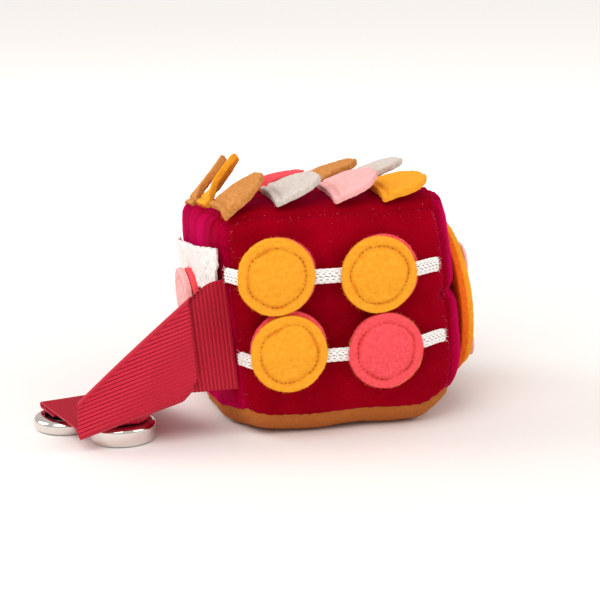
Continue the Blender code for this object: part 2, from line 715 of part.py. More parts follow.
def revolve(name, profile, place, finish, origin):
    """A turned solid: a closed profile of (radius, height) points spun about an upright axis."""
    shape = bmesh.new()
    verts = [shape.verts.new((place.x + r, place.y, h)) for r, h in profile]
    loop = [shape.edges.new((a, b)) for a, b in zip(verts, verts[1:] + verts[:1])]
    bmesh.ops.spin(
        shape,
        geom=verts + loop,
        cent=(place.x, place.y, 0),
        axis=(0, 0, 1),
        angle=2 * pi,
        steps=CLASP_SEGMENTS,
        use_merge=True,
    )
    add_object(name, shape, finish, origin)


def rounded_corner(radius, height, out, up):
    """Quarter round of a turned profile about (radius, height), from its out side to its up side."""
    points = []
    for k in range(CLASP_ROUND_STEPS + 1):
        angle = pi / 2 * k / CLASP_ROUND_STEPS
        points.append((radius + out * CLASP_ROUND * cos(angle), height + up * CLASP_ROUND * sin(angle)))
    return points


def build_clasp(name, place, height, origin):
    """One clasp half: a drawn case that holds its magnet, and the washer on the ribbon's far side."""
    rim = CLASP_DIAMETER / 2
    mouth = CLASP_BORE_DIAMETER / 2
    inside = rim - CLASP_WALL
    low = rounded_corner(rim - CLASP_ROUND, CLASP_ROUND, 1, -1)
    high = rounded_corner(rim - CLASP_ROUND, height - CLASP_ROUND, 1, 1)
    profile = list(reversed(low)) + high
    profile += [(mouth, height), (mouth, height - CLASP_WALL)]
    profile += [(inside - CLASP_ROUND, height - CLASP_WALL), (inside, height - CLASP_ROUND)]
    profile += [(inside, CLASP_ROUND), (inside - CLASP_ROUND, CLASP_WALL), (0, CLASP_WALL), (0, 0)]
    revolve(f"{name}_clasp_case", profile, place, "chrome", origin)
    magnet = MAGNET_DIAMETER / 2
    floor = CLASP_WALL + CLEAR
    profile = [(0, floor), (magnet, floor), (magnet, floor + MAGNET_HEIGHT), (0, floor + MAGNET_HEIGHT)]
    revolve(f"{name}_clasp_magnet", profile, place, "magnet", origin)
    washer = WASHER_DIAMETER / 2
    seat = height + CLEAR + RIBBON_THICK + CLEAR
    profile = [(0, seat), (washer, seat), (washer, seat + WASHER_THICK), (0, seat + WASHER_THICK)]
    revolve(f"{name}_clasp_washer", profile, place, "steel", origin)


def build_strap():
    """The strap turns about an upright line at its root. Both clasp halves are carried by the ribbon."""
    hinge = strap_hinge()
    sheet("strap_ribbon", ribbon_rows(), RIBBON_THICK, "ribbon", hinge)
    near, way = ribbon_back_frame()
    side = Vector((way.y, -way.x, 0))
    middle = near + side * (RIBBON_WIDTH / 2)
    build_clasp("near", middle + way * NEAR_CLASP_RUN, NEAR_CLASP_HEIGHT, hinge)
    build_clasp("far", middle + way * FAR_CLASP_RUN - side * FAR_CLASP_SHIFT, FAR_CLASP_HEIGHT, hinge)


def build():
    clear_scene()
    build_cube()
    build_cord("upper_cord", UPPER_CORD_HEIGHT, (1, 0), LONG_END, SHORT_END)
    build_cord("lower_cord", LOWER_CORD_HEIGHT, (1, 0), LONG_END, SHORT_END)
    build_cord("side_cord", SIDE_CORD_HEIGHT, (0, 1), SHORT_END, SHORT_END)
    build_discs()
    build_flaps()
    build_rosette()
    build_band()
    build_strap()


build()
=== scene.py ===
"""The looks of a soft fabric activity block: crimson velvet, felt discs on knitted cords, felt flaps, a felt
rosette, a knitted band and a folded grosgrain ribbon strap with a chromed magnetic clasp.

Metres, +Z up, the front towards -Y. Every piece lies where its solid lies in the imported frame."""

from math import atan2, cos, exp, pi, radians, sin, sqrt
import random

import bpy
from mathutils import Matrix, Vector, noise


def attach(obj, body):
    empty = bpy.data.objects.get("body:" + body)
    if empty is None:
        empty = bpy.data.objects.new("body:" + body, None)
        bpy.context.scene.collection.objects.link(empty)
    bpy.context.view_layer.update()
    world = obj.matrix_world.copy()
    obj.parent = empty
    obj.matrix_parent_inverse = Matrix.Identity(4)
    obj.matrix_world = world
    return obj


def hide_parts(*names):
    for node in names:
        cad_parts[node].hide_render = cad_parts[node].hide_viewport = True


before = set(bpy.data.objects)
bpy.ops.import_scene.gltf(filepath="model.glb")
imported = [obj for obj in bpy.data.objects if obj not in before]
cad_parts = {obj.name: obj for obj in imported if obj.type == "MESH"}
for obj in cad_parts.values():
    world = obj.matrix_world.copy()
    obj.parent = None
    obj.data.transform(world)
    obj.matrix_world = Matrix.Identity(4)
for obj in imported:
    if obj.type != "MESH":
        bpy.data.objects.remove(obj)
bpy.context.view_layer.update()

MM = 0.001

# Camera
CAMERA_PLACE = (-132.7 * MM, -520.8 * MM, 165.0 * MM)
CAMERA_YAW = radians(13.75)
CAMERA_PITCH = radians(13.3)
CAMERA_ROLL = radians(-0.6)
CAMERA_LENS = 91.32
CAMERA_SENSOR = 36.0

# Each light's place, size across, power and colour
LIGHTS = {
    "window light": ((-0.75, -0.9, 1.35), 1.3, 14.0, (1.0, 0.985, 0.965)),
    "fill light": ((0.9, -0.6, 0.8), 1.0, 4.0, (1.0, 0.97, 0.95)),
    "side light": ((-1.1, 0.45, 0.75), 0.9, 6.5, (1.0, 0.98, 0.965)),
}
LIGHT_AIM = (0, 0, 0.04)
WORLD_COLOUR = (1.0, 0.98, 0.965, 1)
WORLD_STRENGTH = 0.62
BACKDROP_COLOUR = (1.0, 0.975, 0.945, 1)

# The floor grows lighter with distance, as a lit backdrop does
FLOOR_SIZE = 14
FLOOR_BACK = 4
FLOOR_DROP = 0.02 * MM
FLOOR_COLOUR = (0.93, 0.905, 0.885, 1)
FLOOR_GLOW_COLOUR = (1.0, 0.95, 0.92, 1)
FLOOR_GLOW = 0.34
FLOOR_GLOW_START = 0.08
FLOOR_GLOW_END = 0.6

# Stuffed cube, in the solids' sizes
HALF_WIDTH = 41.0 * MM
HALF_HEIGHT = 40.5 * MM
CENTRE_HEIGHT = 40.0 * MM
SQUARENESS = 7.0
LEAN_SHARE = 0.1
BOTTOM_SEAM_SHARE = 0.84
SINK_LEFT = 6.0 * MM
SINK_LEFT_START = 10.0 * MM
SINK_LEFT_RUN = 28.0 * MM
SINK_LEFT_DEPTH = 50.0 * MM
SINK_BACK = 7.0 * MM
SINK_BACK_START = 2.0 * MM
SINK_BACK_RUN = 24.0 * MM
SINK_POWER = 5
RIGHT_BULGE = 5.0 * MM
BULGE_RISE_POWER = 3
BULGE_FALL_POWER = 4
RIGHT_TUCK = 3.0 * MM
RIGHT_TUCK_HEIGHT = 24.0 * MM
SEAM_REACH = HALF_WIDTH * 0.5 ** (1 / SQUARENESS)
CLEAR = 0.3 * MM

# Sewn panels, thinner than the solids' and closer at their seams
SEAM_GAP = 0.03 * MM
PANEL_THICK = 1.2 * MM
PANEL_CELLS = 72
MERGE_DISTANCE = 0.002 * MM

# Corners that the stuffing fills and a foot that lifts, in the looks alone
CORNER_FILL = 18.0 * MM
CORNER_FILL_DEPTH = 25.0 * MM
CORNER_FILL_POWER = 8
BACK_CORNER_FILL = 11.0 * MM
BACK_CORNER_POWER = 4
LEFT_FOOT_OUT = 14.0 * MM
LEFT_FOOT_DROP = 17.0 * MM
LEFT_FOOT_POWER = 6
LEFT_FOOT_START = 32.0 * MM
LEFT_FOOT_RUN = 26.0 * MM
FOOT_LIFT = 2.8 * MM
FOOT_TUCK = 0.4 * MM
FOOT_LIFT_START = 25.0 * MM
FOOT_LIFT_RUN = 11.0 * MM

# How the cloth draws in at its seams
TUCK_DEPTH = 0.4 * MM
TUCK_REACH = 1.3 * MM
DRAW_DEPTH = 0.35 * MM
DRAW_REACH = 5.0 * MM
PUCKER_DEPTH = 0.28 * MM
PUCKER_PITCH = 3.6 * MM
PUCKER_REACH = 4.5 * MM
CREASE_DEPTH = 1.7 * MM
CREASE_HEIGHT = 46.0 * MM
CREASE_WIDTH = 2.2 * MM
CREASE_START = 33.0 * MM
CREASE_START_RUN = 5.0 * MM
CREASE_END = -28.0 * MM
CREASE_END_RUN = 20.0 * MM
DENT_DEPTH = 0.7 * MM
DENT_SCALE = 55.0

# Stray fibres on the velvet
LINT_FIBRES = 220
LINT_PLACE_SEED = 7
LINT_FIBRE_SEED = 5
LINT_ACROSS = (-0.9, 0.95)
LINT_UP = (-0.75, 0.95)
LINT_SEAMS = (-0.93, 0.93)
LINT_SEAM_SPREAD = 0.03
LINT_TOP = 0.95
LINT_TOP_SPREAD = 0.04
LINT_LENGTHS = (0.3 * MM, 1.0 * MM)
LINT_THICK = 0.04 * MM
LINT_SINK = 0.2 * MM
LINT_WAY = (0.3, -0.5, 0.2)

# Knitted cords. A face says which of x and y a cord runs along: x on the front, y on the left side
FRONT_FACE = (1, 0)
LEFT_FACE = (0, 1)
# Each cord's height, its width and its face
CORDS = {
    "upper_cord": (57.3 * MM, 4.7 * MM, FRONT_FACE),
    "lower_cord": (31.0 * MM, 4.3 * MM, FRONT_FACE),
    "side_cord": (39.4 * MM, 4.7 * MM, LEFT_FACE),
}
CORD_THICK = 3.0 * MM
CORD_BEND_RADIUS = 4.0 * MM
CORD_BEND_STEPS = 16
CORD_SLOPE_STEPS = 20
CORD_TAIL = 4.5 * MM
CORD_REACH = 45.7 * MM
SHORT_END = (SEAM_REACH - 8.0 * MM, radians(90))
CORD_LEFT_START = -33.0 * MM
UPPER_LEFT_END = (-38.3 * MM, 37.7 * MM)
LOWER_LEFT_END = (-36.9 * MM, 38.9 * MM)
CORD_RIGHT_START = 24.0 * MM
CORD_RIGHT_END = (35.2 * MM, 40.2 * MM)
# A cord's waves, as (place along it, height) stations
UPPER_DRIFT = ((-40 * MM, 0.3 * MM), (-6 * MM, -0.4 * MM), (30 * MM, 0.1 * MM))
LOWER_DRIFT = ((-36 * MM, -1.9 * MM), (-3 * MM, -1.3 * MM), (32 * MM, 1.3 * MM))
SIDE_DRIFT = ((0, 0), (1, 0))
CORD_SQUARENESS = 0.8
CORD_CLOSING = (0.0, 0.75)
KNIT_WALES = 8
KNIT_COURSE = 2.15 * MM
KNIT_RELIEF = 0.42 * MM
KNIT_SINK_WIDE = 0.6
KNIT_SINK_THICK = 0.7
KNIT_RING_POINTS = 90
KNIT_STEP = 0.3 * MM
LEG_LOW = 0.10
LEG_SLANT = 0.30
LEG_HALF_WIDTH = 0.21
FRAY_FIBRES = 40
FRAY_LENGTHS = (0.5 * MM, 1.4 * MM)
FRAY_THICK = 0.11 * MM
FRAY_START = 0.3 * MM
FRAY_MIDDLE = 2.0 * MM

# Felt discs
FELT_THICK = 2.5 * MM
DISC_RADIUS = 13.0 * MM
DISC_LAYER_GAP = 0.3 * MM
DISC_CHANNEL_RISE = 1.75 * MM
DISC_CHANNEL_WIDTH = 3.2 * MM
RAISED_DISC_LIFT = 0.6 * MM
LOWERED_DISC_LIFT = -0.7 * MM
BACK_LAYER_SHIFTS = {
    "upper_left_disc": (1.3 * MM, -0.5 * MM),
    "upper_right_disc": (1.7 * MM, 0.0),
    "lower_left_disc": (0.7 * MM, 1.0 * MM),
    "lower_right_disc": (1.0 * MM, -0.9 * MM),
}
# Each disc's place along its cord, its middle over the cord's, its seed, its layers and their felts
FRONT_LAYERS = ("front", "back")
DISCS = {
    "upper_left_disc": (-23.0 * MM, RAISED_DISC_LIFT, 11.0, FRONT_LAYERS, ("marigold felt", "coral felt")),
    "upper_right_disc": (12.0 * MM, LOWERED_DISC_LIFT, 23.0, FRONT_LAYERS, ("marigold felt", "coral felt")),
    "lower_left_disc": (-21.6 * MM, RAISED_DISC_LIFT, 37.0, FRONT_LAYERS, ("marigold felt", "coral felt")),
    "lower_right_disc": (11.9 * MM, LOWERED_DISC_LIFT, 41.0, FRONT_LAYERS, ("coral felt", "marigold felt")),
    "side_disc": (0.0, 0.0, 53.0, ("outer", "inner"), ("pink felt", "coral felt")),
}
FELT_AROUND = 144
# Rows of points over a felt's face and over its back
DISC_FELT_ROWS = (34, 10)
ROSETTE_FELT_ROWS = (30, 12)
LEAF_FELT_ROWS = (16, 12)
FELT_ROUND_STEPS = 4
STITCH_RING_RADIUS = 9.75 * MM
STITCH_RING_WANDER = 0.95 * MM
CUT_WANDER_SHARE = 0.012
STITCH_GROOVE_DEPTH = 0.6 * MM
STITCH_GROOVE_WIDTH = 0.75 * MM
DISC_CROWN = 0.9 * MM
DISC_CROWN_SHARE = 0.62
DISC_PUFF = 0.25 * MM
DISC_PUFF_EDGE = 0.86
DISC_PUFF_RUN = 0.3
STITCH_COUNT = 40
STITCH_THICK = 0.42 * MM
STITCH_ENDS = (0.14, 0.86)
STITCH_BOW_SHARE = 0.45
HOLE_THICK = 0.62 * MM
HOLE_SINK = 0.25 * MM
HOLE_RISE = 0.12 * MM
HOLE_ASTRAY = 0.25
HOLE_CLOSED = -0.12
FELT_ROUND = 0.55 * MM

# Threads, stray fibres and nap
EDGE_FIBRES = 170
FIBRE_LENGTHS = (0.3 * MM, 1.0 * MM)
FIBRE_THICK = 0.08 * MM
FIBRE_STRAY = 0.8
FIBRE_ROOT = 0.2 * MM
FIBRE_BOW = 0.15 * MM
THREAD_SIDES = 6
FIBRE_SIDES = 3
THREAD_SPACING = 3.0
THREAD_END_SHARE = 0.27
DISC_NAP = 0.16 * MM
FLAP_NAP = 0.2 * MM
ROSETTE_NAP = 0.18 * MM
NAP_SCALE = 900
ROSETTE_NAP_SCALE = 800

# Felt flaps
FLAP_WIDTH = 23.5 * MM
FLAP_LENGTH = 18.5 * MM
TWISTED_FLAP_LENGTH = 20.5 * MM
SHOULDER_SHARE = 0.45
TIP_POWER = 2.2
FLAP_CUP = 0.8 * MM
FLAP_CUP_HALF = 3.0 * MM
FLAP_WAVE = 0.35 * MM
FLAP_ROWS = ("front", "middle", "back")
FLAP_ROW_PITCH = 25.6 * MM
FLAP_PLACES = (-39.2 * MM, -21.9 * MM, -1.9 * MM, 14.9 * MM)
FLAP_TILTS = {
    "front": (33, 17, 17, 10),
    "middle": (52, 10, 17, 16),
    "back": (50, 9, 14, 7),
}
FLAP_FELTS = {
    "front": ("tan", "grey", "pink", "marigold"),
    "middle": ("marigold", "coral", "tan", "grey"),
    "back": ("tan", "grey", "pink", "coral"),
}
FLAP_TWIST = radians(11)
TWISTED_FLAPS = ("middle_flap_1", "back_flap_1")
FLAP_DROOP_SHARE = 0.48
FLAP_TIP_DROOP_SHARE = 0.5
LEAF_END_SHARE = 0.996
LEAF_ROOT_CELLS = 60
LEAF_POINTS = 120
LEAF_STEPS = 200
LEAF_CORNER_RUN = 0.02
LEAF_CORNER_WIDTH = 0.99
LEAF_SIDE_START = 0.05
LEAF_SIDE_CELLS = 120
LEAF_MIDDLE = 0.46
TWISTED_ROOT_PINCH = 0.25
FLAP_SEAT_SHARE = 0.5
FLAP_SEAM_PLACE = 2.2 * MM
FLAP_SEAM_DEPTH = 0.9 * MM
FLAP_SEAM_WIDTH = 0.5 * MM

# Felt rosette
ROSETTE_RADIUS = 30.0 * MM
ROSETTE_TOP_RADIUS = 28.0 * MM
ROSETTE_FLARE = 0.3 * MM
ROSETTE_HEIGHT = 37.5 * MM
ROSETTE_DEPTH_OFFSET = 3.0 * MM
PETAL_COUNT = 4
PETAL_ROOT_RADIUS = 9.0 * MM
PETAL_LENGTH = 18.0 * MM
PETAL_WIDTH = 14.8 * MM
PETAL_CLEAR = 0.3 * MM
PETAL_THICK = 1.2 * MM
PETAL_TILT = radians(1)

# Knitted band
BAND_WIDTH = 14.5 * MM
BAND_THICK = 1.4 * MM
BAND_HEIGHT = 54.6 * MM
BAND_SLOPE_SHARE = -0.1
BAND_END_SHARE = 0.88
BAND_CELLS = (260, 70)
BAND_UPPER_REACH = 0.05
BAND_STEP_START = 0.45
BAND_STEP_RUN = 0.2
BAND_OUTER_SHARE = 0.8
BAND_CLOTH_SHARE = 0.7
BAND_RAGGED = 0.9 * MM
BAND_FINE_RAGGED = 0.5 * MM
BAND_RELIEF = 0.4 * MM
BAND_FINE_RELIEF = 0.07 * MM

# Grosgrain ribbon strap
RIBBON_WIDTH = 38.0 * MM
RIBBON_THICK = 0.5 * MM
RIBBON_SOLID_THICK = 0.6 * MM
RIBBON_LOW_EDGE = 17.8 * MM
RIBBON_ROOT_OUT = 0.9 * MM
RIBBON_ROOT_BACK = -0.6 * MM
RIBBON_FIRST_RUN = 12.5 * MM
DIAGONAL_RADIUS = 0.95 * MM
LOW_FOLD_HEIGHT = 6.5 * MM
LOW_FOLD_RISE = 12.3 * MM
LOW_FOLD_RADIUS = 2.0 * MM
LOW_FOLD_ANGLE = radians(100)
BACK_RUN = 39.0 * MM
BACK_YAW = radians(14.5)
SETTLE_RUN = 4.3 * MM
CURL_SHARE = 0.62
CURL_FALL_SHARE = 0.23
HEM = 12.5 * MM
RIB_PITCH = 1.3 * MM
RIB_DEPTH = 0.22 * MM
RIB_FADE = 0.85
RIB_FADE_START = 0.95
RIB_FADE_RUN = 0.4
LOW_FOLD_RIBS = 0.3
BACK_RIBS = 0.8
HEM_RIBS = 0.6
FOLD_DROOP = 5.0 * MM
FOLD_DROOP_ACROSS_POWER = 1.3
FOLD_DROOP_ALONG_POWER = 2.6
FACE_BULGE = 2.6 * MM
FOLD_CORNER_PULL = 1.8 * MM
FOLD_CORNER_START = 0.84
FAR_SETTLE_RUN = 14.0 * MM
FAR_SETTLE_START = 0.5
FAR_SETTLE_OVER = 0.35
RIBBON_COLUMNS = 60
FIRST_ROWS = 150
FACE_ROWS = 130
BACK_ROWS = 120
HEM_ROWS = 30
TURN_ROWS = 10
LOW_FOLD_ROWS = 12

# Clasp
CLASP_RADIUS = 11.5 * MM
NEAR_CLASP_HEIGHT = 6.6 * MM
FAR_CLASP_HEIGHT = 4.6 * MM
CLASP_ROUND = 1.7 * MM
CLASP_WALL = 0.7 * MM
CLASP_MOUTH = 7.5 * MM
CLASP_LIP = 0.3 * MM
CLASP_BEVEL = 2.2 * MM
CLASP_SHOULDER = 1.4 * MM
CLASP_ROUND_STEPS = 8
CLASP_AROUND = 128
WASHER_RADIUS = 4.5 * MM
WASHER_THICK = 0.5 * MM
NEAR_CLASP_RUN = 9.0 * MM
FAR_CLASP_RUN = 31.0 * MM
FAR_CLASP_SHIFT = 12.0 * MM


# Making the camera, the light and the floor


def new_object(name, data):
    made = bpy.data.objects.new(name, data)
    bpy.context.scene.collection.objects.link(made)
    return made


def set_inputs(node, values):
    for name, value in values.items():
        node.inputs[name].default_value = value


def make_camera():
    data = bpy.data.cameras.new("camera")
    data.sensor_fit = "HORIZONTAL"
    data.sensor_width = CAMERA_SENSOR
    data.lens = CAMERA_LENS
    camera = new_object("camera", data)
    turn = Matrix.Rotation(-CAMERA_YAW, 4, "Z") @ Matrix.Rotation(pi / 2 - CAMERA_PITCH, 4, "X")
    camera.matrix_world = Matrix.Translation(CAMERA_PLACE) @ turn @ Matrix.Rotation(CAMERA_ROLL, 4, "Z")
    bpy.context.scene.camera = camera


def make_light(name, place, size, power, colour):
    data = bpy.data.lights.new(name, "AREA")
    data.shape = "DISK"
    data.size = size
    data.energy = power
    data.color = colour
    light = new_object(name, data)
    light.location = place
    aim = Vector(LIGHT_AIM) - Vector(place)
    light.rotation_euler = aim.to_track_quat("-Z", "Y").to_euler()


def make_world():
    world = bpy.data.worlds.new("studio")
    world.use_nodes = True
    bpy.context.scene.world = world
    nodes = world.node_tree.nodes
    links = world.node_tree.links
    light = nodes["Background"]
    set_inputs(light, {"Color": WORLD_COLOUR, "Strength": WORLD_STRENGTH})
    seen = nodes.new("ShaderNodeBackground")
    set_inputs(seen, {"Color": BACKDROP_COLOUR, "Strength": 1.0})
    rays = nodes.new("ShaderNodeLightPath")
    mix = nodes.new("ShaderNodeMixShader")
    links.new(rays.outputs["Is Camera Ray"], mix.inputs["Fac"])
    links.new(light.outputs["Background"], mix.inputs[1])
    links.new(seen.outputs["Background"], mix.inputs[2])
    links.new(mix.outputs["Shader"], nodes["World Output"].inputs["Surface"])


def make_floor():
    deselect()
    bpy.ops.mesh.primitive_plane_add(size=FLOOR_SIZE, location=(0, FLOOR_BACK, -FLOOR_DROP))
    floor = bpy.context.active_object
    floor.name = "floor"
    mat, shader, tree = new_material("paper floor")
    set_inputs(shader, {"Base Color": FLOOR_COLOUR, "Roughness": 0.9, "Specular IOR Level": 0.1})
    set_inputs(shader, {"Emission Color": FLOOR_GLOW_COLOUR})
    nodes = tree.nodes
    place = nodes.new("ShaderNodeTexCoord")
    middle = nodes.new("ShaderNodeVectorMath")
    middle.operation = "DISTANCE"
    middle.inputs[1].default_value = (0, -FLOOR_BACK, 0)
    far = nodes.new("ShaderNodeMapRange")
    far.interpolation_type = "SMOOTHSTEP"
    set_inputs(far, {"From Min": FLOOR_GLOW_START, "From Max": FLOOR_GLOW_END, "To Max": FLOOR_GLOW})
    rays = nodes.new("ShaderNodeLightPath")
    seen = nodes.new("ShaderNodeMath")
    seen.operation = "MULTIPLY"
    tree.links.new(place.outputs["Object"], middle.inputs[0])
    tree.links.new(middle.outputs["Value"], far.inputs["Value"])
    tree.links.new(far.outputs["Result"], seen.inputs[0])
    tree.links.new(rays.outputs["Is Camera Ray"], seen.inputs[1])
    tree.links.new(seen.outputs["Value"], shader.inputs["Emission Strength"])
    floor.data.materials.append(mat)


# Making the materials


def new_material(name):
    mat = bpy.data.materials.new(name)
    mat.use_nodes = True
    return mat, mat.node_tree.nodes["Principled BSDF"], mat.node_tree


def texture_noise(tree, scale, detail, stretch=(1, 1, 1), roughness=0.55):
    """A noise on the piece's own coordinates. Scale is in features a metre."""
    place = tree.nodes.new("ShaderNodeTexCoord")
    mapping = tree.nodes.new("ShaderNodeMapping")
    set_inputs(mapping, {"Scale": stretch})
    texture = tree.nodes.new("ShaderNodeTexNoise")
    set_inputs(texture, {"Scale": scale, "Detail": detail, "Roughness": roughness})
    tree.links.new(place.outputs["Object"], mapping.inputs["Vector"])
    tree.links.new(mapping.outputs["Vector"], texture.inputs["Vector"])
    return texture.outputs["Fac"]


def kept_value(tree, name):
    """A value that mark() has kept at the points of a piece."""
    node = tree.nodes.new("ShaderNodeAttribute")
    node.attribute_name = name
    return node.outputs["Fac"]


def ramp(tree, source, low, high, start=0.35, end=0.65):
    """Two colours, the low one up to the start of a value and the high one from its end."""
    node = tree.nodes.new("ShaderNodeValToRGB")
    node.color_ramp.elements[0].position = start
    node.color_ramp.elements[1].position = end
    node.color_ramp.elements[0].color = (*low, 1)
    node.color_ramp.elements[1].color = (*high, 1)
    tree.links.new(source, node.inputs["Fac"])
    return node.outputs["Color"]


def mix_colours(tree, share, first, second, blend="MIX"):
    node = tree.nodes.new("ShaderNodeMix")
    node.data_type = "RGBA"
    node.blend_type = blend
    if isinstance(share, float):
        node.inputs["Factor"].default_value = share
    else:
        tree.links.new(share, node.inputs["Factor"])
    tree.links.new(first, node.inputs["A"])
    tree.links.new(second, node.inputs["B"])
    return node.outputs["Result"]


def set_cloth(shader, roughness, specular, sheen=0.0, sheen_roughness=0.5, tint=(1, 1, 1)):
    """The gloss and the sheen of a cloth, on the shader's own sockets."""
    set_inputs(shader, {"Roughness": roughness, "Specular IOR Level": specular})
    set_inputs(shader, {"Sheen Weight": sheen, "Sheen Roughness": sheen_roughness, "Sheen Tint": (*tint, 1)})


def add_bump(tree, shader, source, depth, strength, under=None):
    bump = tree.nodes.new("ShaderNodeBump")
    set_inputs(bump, {"Distance": depth, "Strength": strength})
    tree.links.new(source, bump.inputs["Height"])
    if under is not None:
        tree.links.new(under, bump.inputs["Normal"])
    tree.links.new(bump.outputs["Normal"], shader.inputs["Normal"])
    return bump.outputs["Normal"]


def velvet_material(name, painted_sheen_streaks):
    """Short-pile velvet: deep where it is seen from the front and pink where the light grazes it, through
    the shader's sheen. The streaked kind, for the sides, also has painted sheen in its colour.
    """
    mat, shader, tree = new_material(name)
    pile = texture_noise(tree, scale=2200, detail=3)
    # Painted light: the colour mixes a deep and a lighter crimson over broad patches. This is partly the
    # pile's own uneven tone and partly painted shading where the pile catches the light. For the sides the
    # lighter colour is a fuchsia painted sheen, in upright streaks such as folds catch in a grazing light.
    if painted_sheen_streaks:
        pile_patches_and_sheen_streaks = texture_noise(tree, scale=120, detail=2, stretch=(1, 1, 0.07))
        crest, start, end = (0.60, 0.0, 0.09), 0.36, 0.64
    else:
        pile_patches_and_sheen_streaks = texture_noise(tree, scale=60, detail=2)
        crest, start, end = (0.40, 0.0, 0.013), 0.3, 0.75
    deep = ramp(tree, pile, (0.20, 0.0, 0.004), (0.27, 0.0, 0.007))
    light = ramp(tree, pile, (0.30, 0.0, 0.008), crest)
    share = ramp(tree, pile_patches_and_sheen_streaks, (0, 0, 0), (1, 1, 1), start, end)
    tree.links.new(mix_colours(tree, share, deep, light), shader.inputs["Base Color"])
    set_cloth(shader, roughness=0.9, specular=0.02, sheen=0.9, sheen_roughness=0.3, tint=(1.0, 0.0, 0.2))
    soft = add_bump(tree, shader, pile_patches_and_sheen_streaks, depth=0.5 * MM, strength=0.35)
    add_bump(tree, shader, pile, depth=0.18 * MM, strength=0.45, under=soft)
    return mat


def felt_material(name, low, high):
    """Pressed wool felt: mottled in colour, with a fine matted nap and painted shade darkening its sewn
    grooves.
    """
    mat, shader, tree = new_material(name)
    mottle = texture_noise(tree, scale=850, detail=4)
    nap = texture_noise(tree, scale=3600, detail=4, roughness=0.7)
    base = ramp(tree, mottle, low, high, 0.3, 0.7)
    speckle = ramp(tree, nap, (0.86, 0.80, 0.74), (1.0, 1.0, 1.0), 0.32, 0.6)
    # Painted shade: the colour darkens where the kept 'crease' value marks a sewn stitch groove.
    shade = ramp(tree, kept_value(tree, "crease"), (1.0, 1.0, 1.0), (0.80, 0.60, 0.48), 0.1, 0.9)
    mottled = mix_colours(tree, 0.85, base, speckle, "MULTIPLY")
    tree.links.new(mix_colours(tree, 1.0, mottled, shade, "MULTIPLY"), shader.inputs["Base Color"])
    set_cloth(shader, roughness=0.95, specular=0.1, sheen=0.06, sheen_roughness=0.55, tint=high)
    soft = add_bump(tree, shader, mottle, depth=0.35 * MM, strength=0.5)
    add_bump(tree, shader, nap, depth=0.16 * MM, strength=0.8, under=soft)
    return mat


def plain_cloth_material(name, low, high, scale):
    """Plain cloth, knit or stuffing: a fine grain and broad worn patches. Scale is the grain's."""
    mat, shader, tree = new_material(name)
    grain = texture_noise(tree, scale, detail=4)
    shade = texture_noise(tree, scale=160, detail=3)
    base = ramp(tree, grain, low, high, 0.3, 0.7)
    wear = ramp(tree, shade, (0.84, 0.82, 0.8), (1.0, 1.0, 1.0), 0.3, 0.65)
    tree.links.new(mix_colours(tree, 0.8, base, wear, "MULTIPLY"), shader.inputs["Base Color"])
    set_cloth(shader, roughness=0.92, specular=0.1, sheen=0.2, sheen_roughness=0.5, tint=high)
    add_bump(tree, shader, grain, depth=0.15 * MM, strength=0.7)
    return mat


def cord_material():
    """White knitting, with painted shade: grey down between its stitches, where the knit relief is low."""
    mat, shader, tree = new_material("white cord")
    grain = texture_noise(tree, scale=1800, detail=4)
    yarn = ramp(tree, grain, (0.90, 0.87, 0.84), (0.98, 0.965, 0.95), 0.3, 0.7)
    # Painted shade: the yarn's colour turns grey where the kept knit relief is low, between the stitches.
    depth = ramp(tree, kept_value(tree, "stitch"), (0.30, 0.25, 0.22), (1.0, 1.0, 1.0), 0.02, 0.35)
    tree.links.new(mix_colours(tree, 1.0, yarn, depth, "MULTIPLY"), shader.inputs["Base Color"])
    set_cloth(shader, roughness=0.9, specular=0.1)
    add_bump(tree, shader, grain, depth=0.12 * MM, strength=0.6)
    return mat


def ribbon_material():
    """Grosgrain: a soft lustre on the ribs, partly the shader's gloss and partly a painted highlight in
    their lighter crest colour, painted shade in the darker grooves between them and a fine warp thread
    across them.
    """
    mat, shader, tree = new_material("crimson grosgrain")
    thread = texture_noise(tree, scale=2400, detail=3)
    shade = texture_noise(tree, scale=60, detail=2)
    # Painted highlight and shade: a lighter colour on the rib crests and a darker one in the grooves, mixed
    # by the kept rib height.
    crest = ramp(tree, thread, (0.58, 0.012, 0.036), (0.76, 0.028, 0.072), 0.3, 0.7)
    groove = ramp(tree, thread, (0.30, 0.002, 0.012), (0.40, 0.004, 0.02), 0.3, 0.7)
    height = ramp(tree, kept_value(tree, "rib"), (0, 0, 0), (1, 1, 1), 0.2, 0.85)
    base = mix_colours(tree, height, groove, crest)
    wear = ramp(tree, shade, (0.9, 0.86, 0.88), (1.0, 1.0, 1.0), 0.3, 0.7)
    tree.links.new(mix_colours(tree, 0.9, base, wear, "MULTIPLY"), shader.inputs["Base Color"])
    set_cloth(shader, roughness=0.5, specular=0.4, sheen=0.06, sheen_roughness=0.4, tint=(1.0, 0.3, 0.4))
    set_inputs(shader, {"Specular Tint": (1.0, 0.45, 0.5, 1)})
    add_bump(tree, shader, thread, depth=0.06 * MM, strength=0.5)
    return mat


def metal_material(name, colour, roughness, scratch_depth):
    """Plated or plain metal, a little smeared and finely scratched."""
    mat, shader, tree = new_material(name)
    smear = texture_noise(tree, scale=240, detail=4)
    low = tuple(part * 0.93 for part in colour)
    tree.links.new(ramp(tree, smear, low, colour, 0.3, 0.7), shader.inputs["Base Color"])
    set_inputs(shader, {"Metallic": 1.0, "Roughness": roughness})
    add_bump(tree, shader, texture_noise(tree, scale=900, detail=2), depth=scratch_depth, strength=0.3)
    return mat


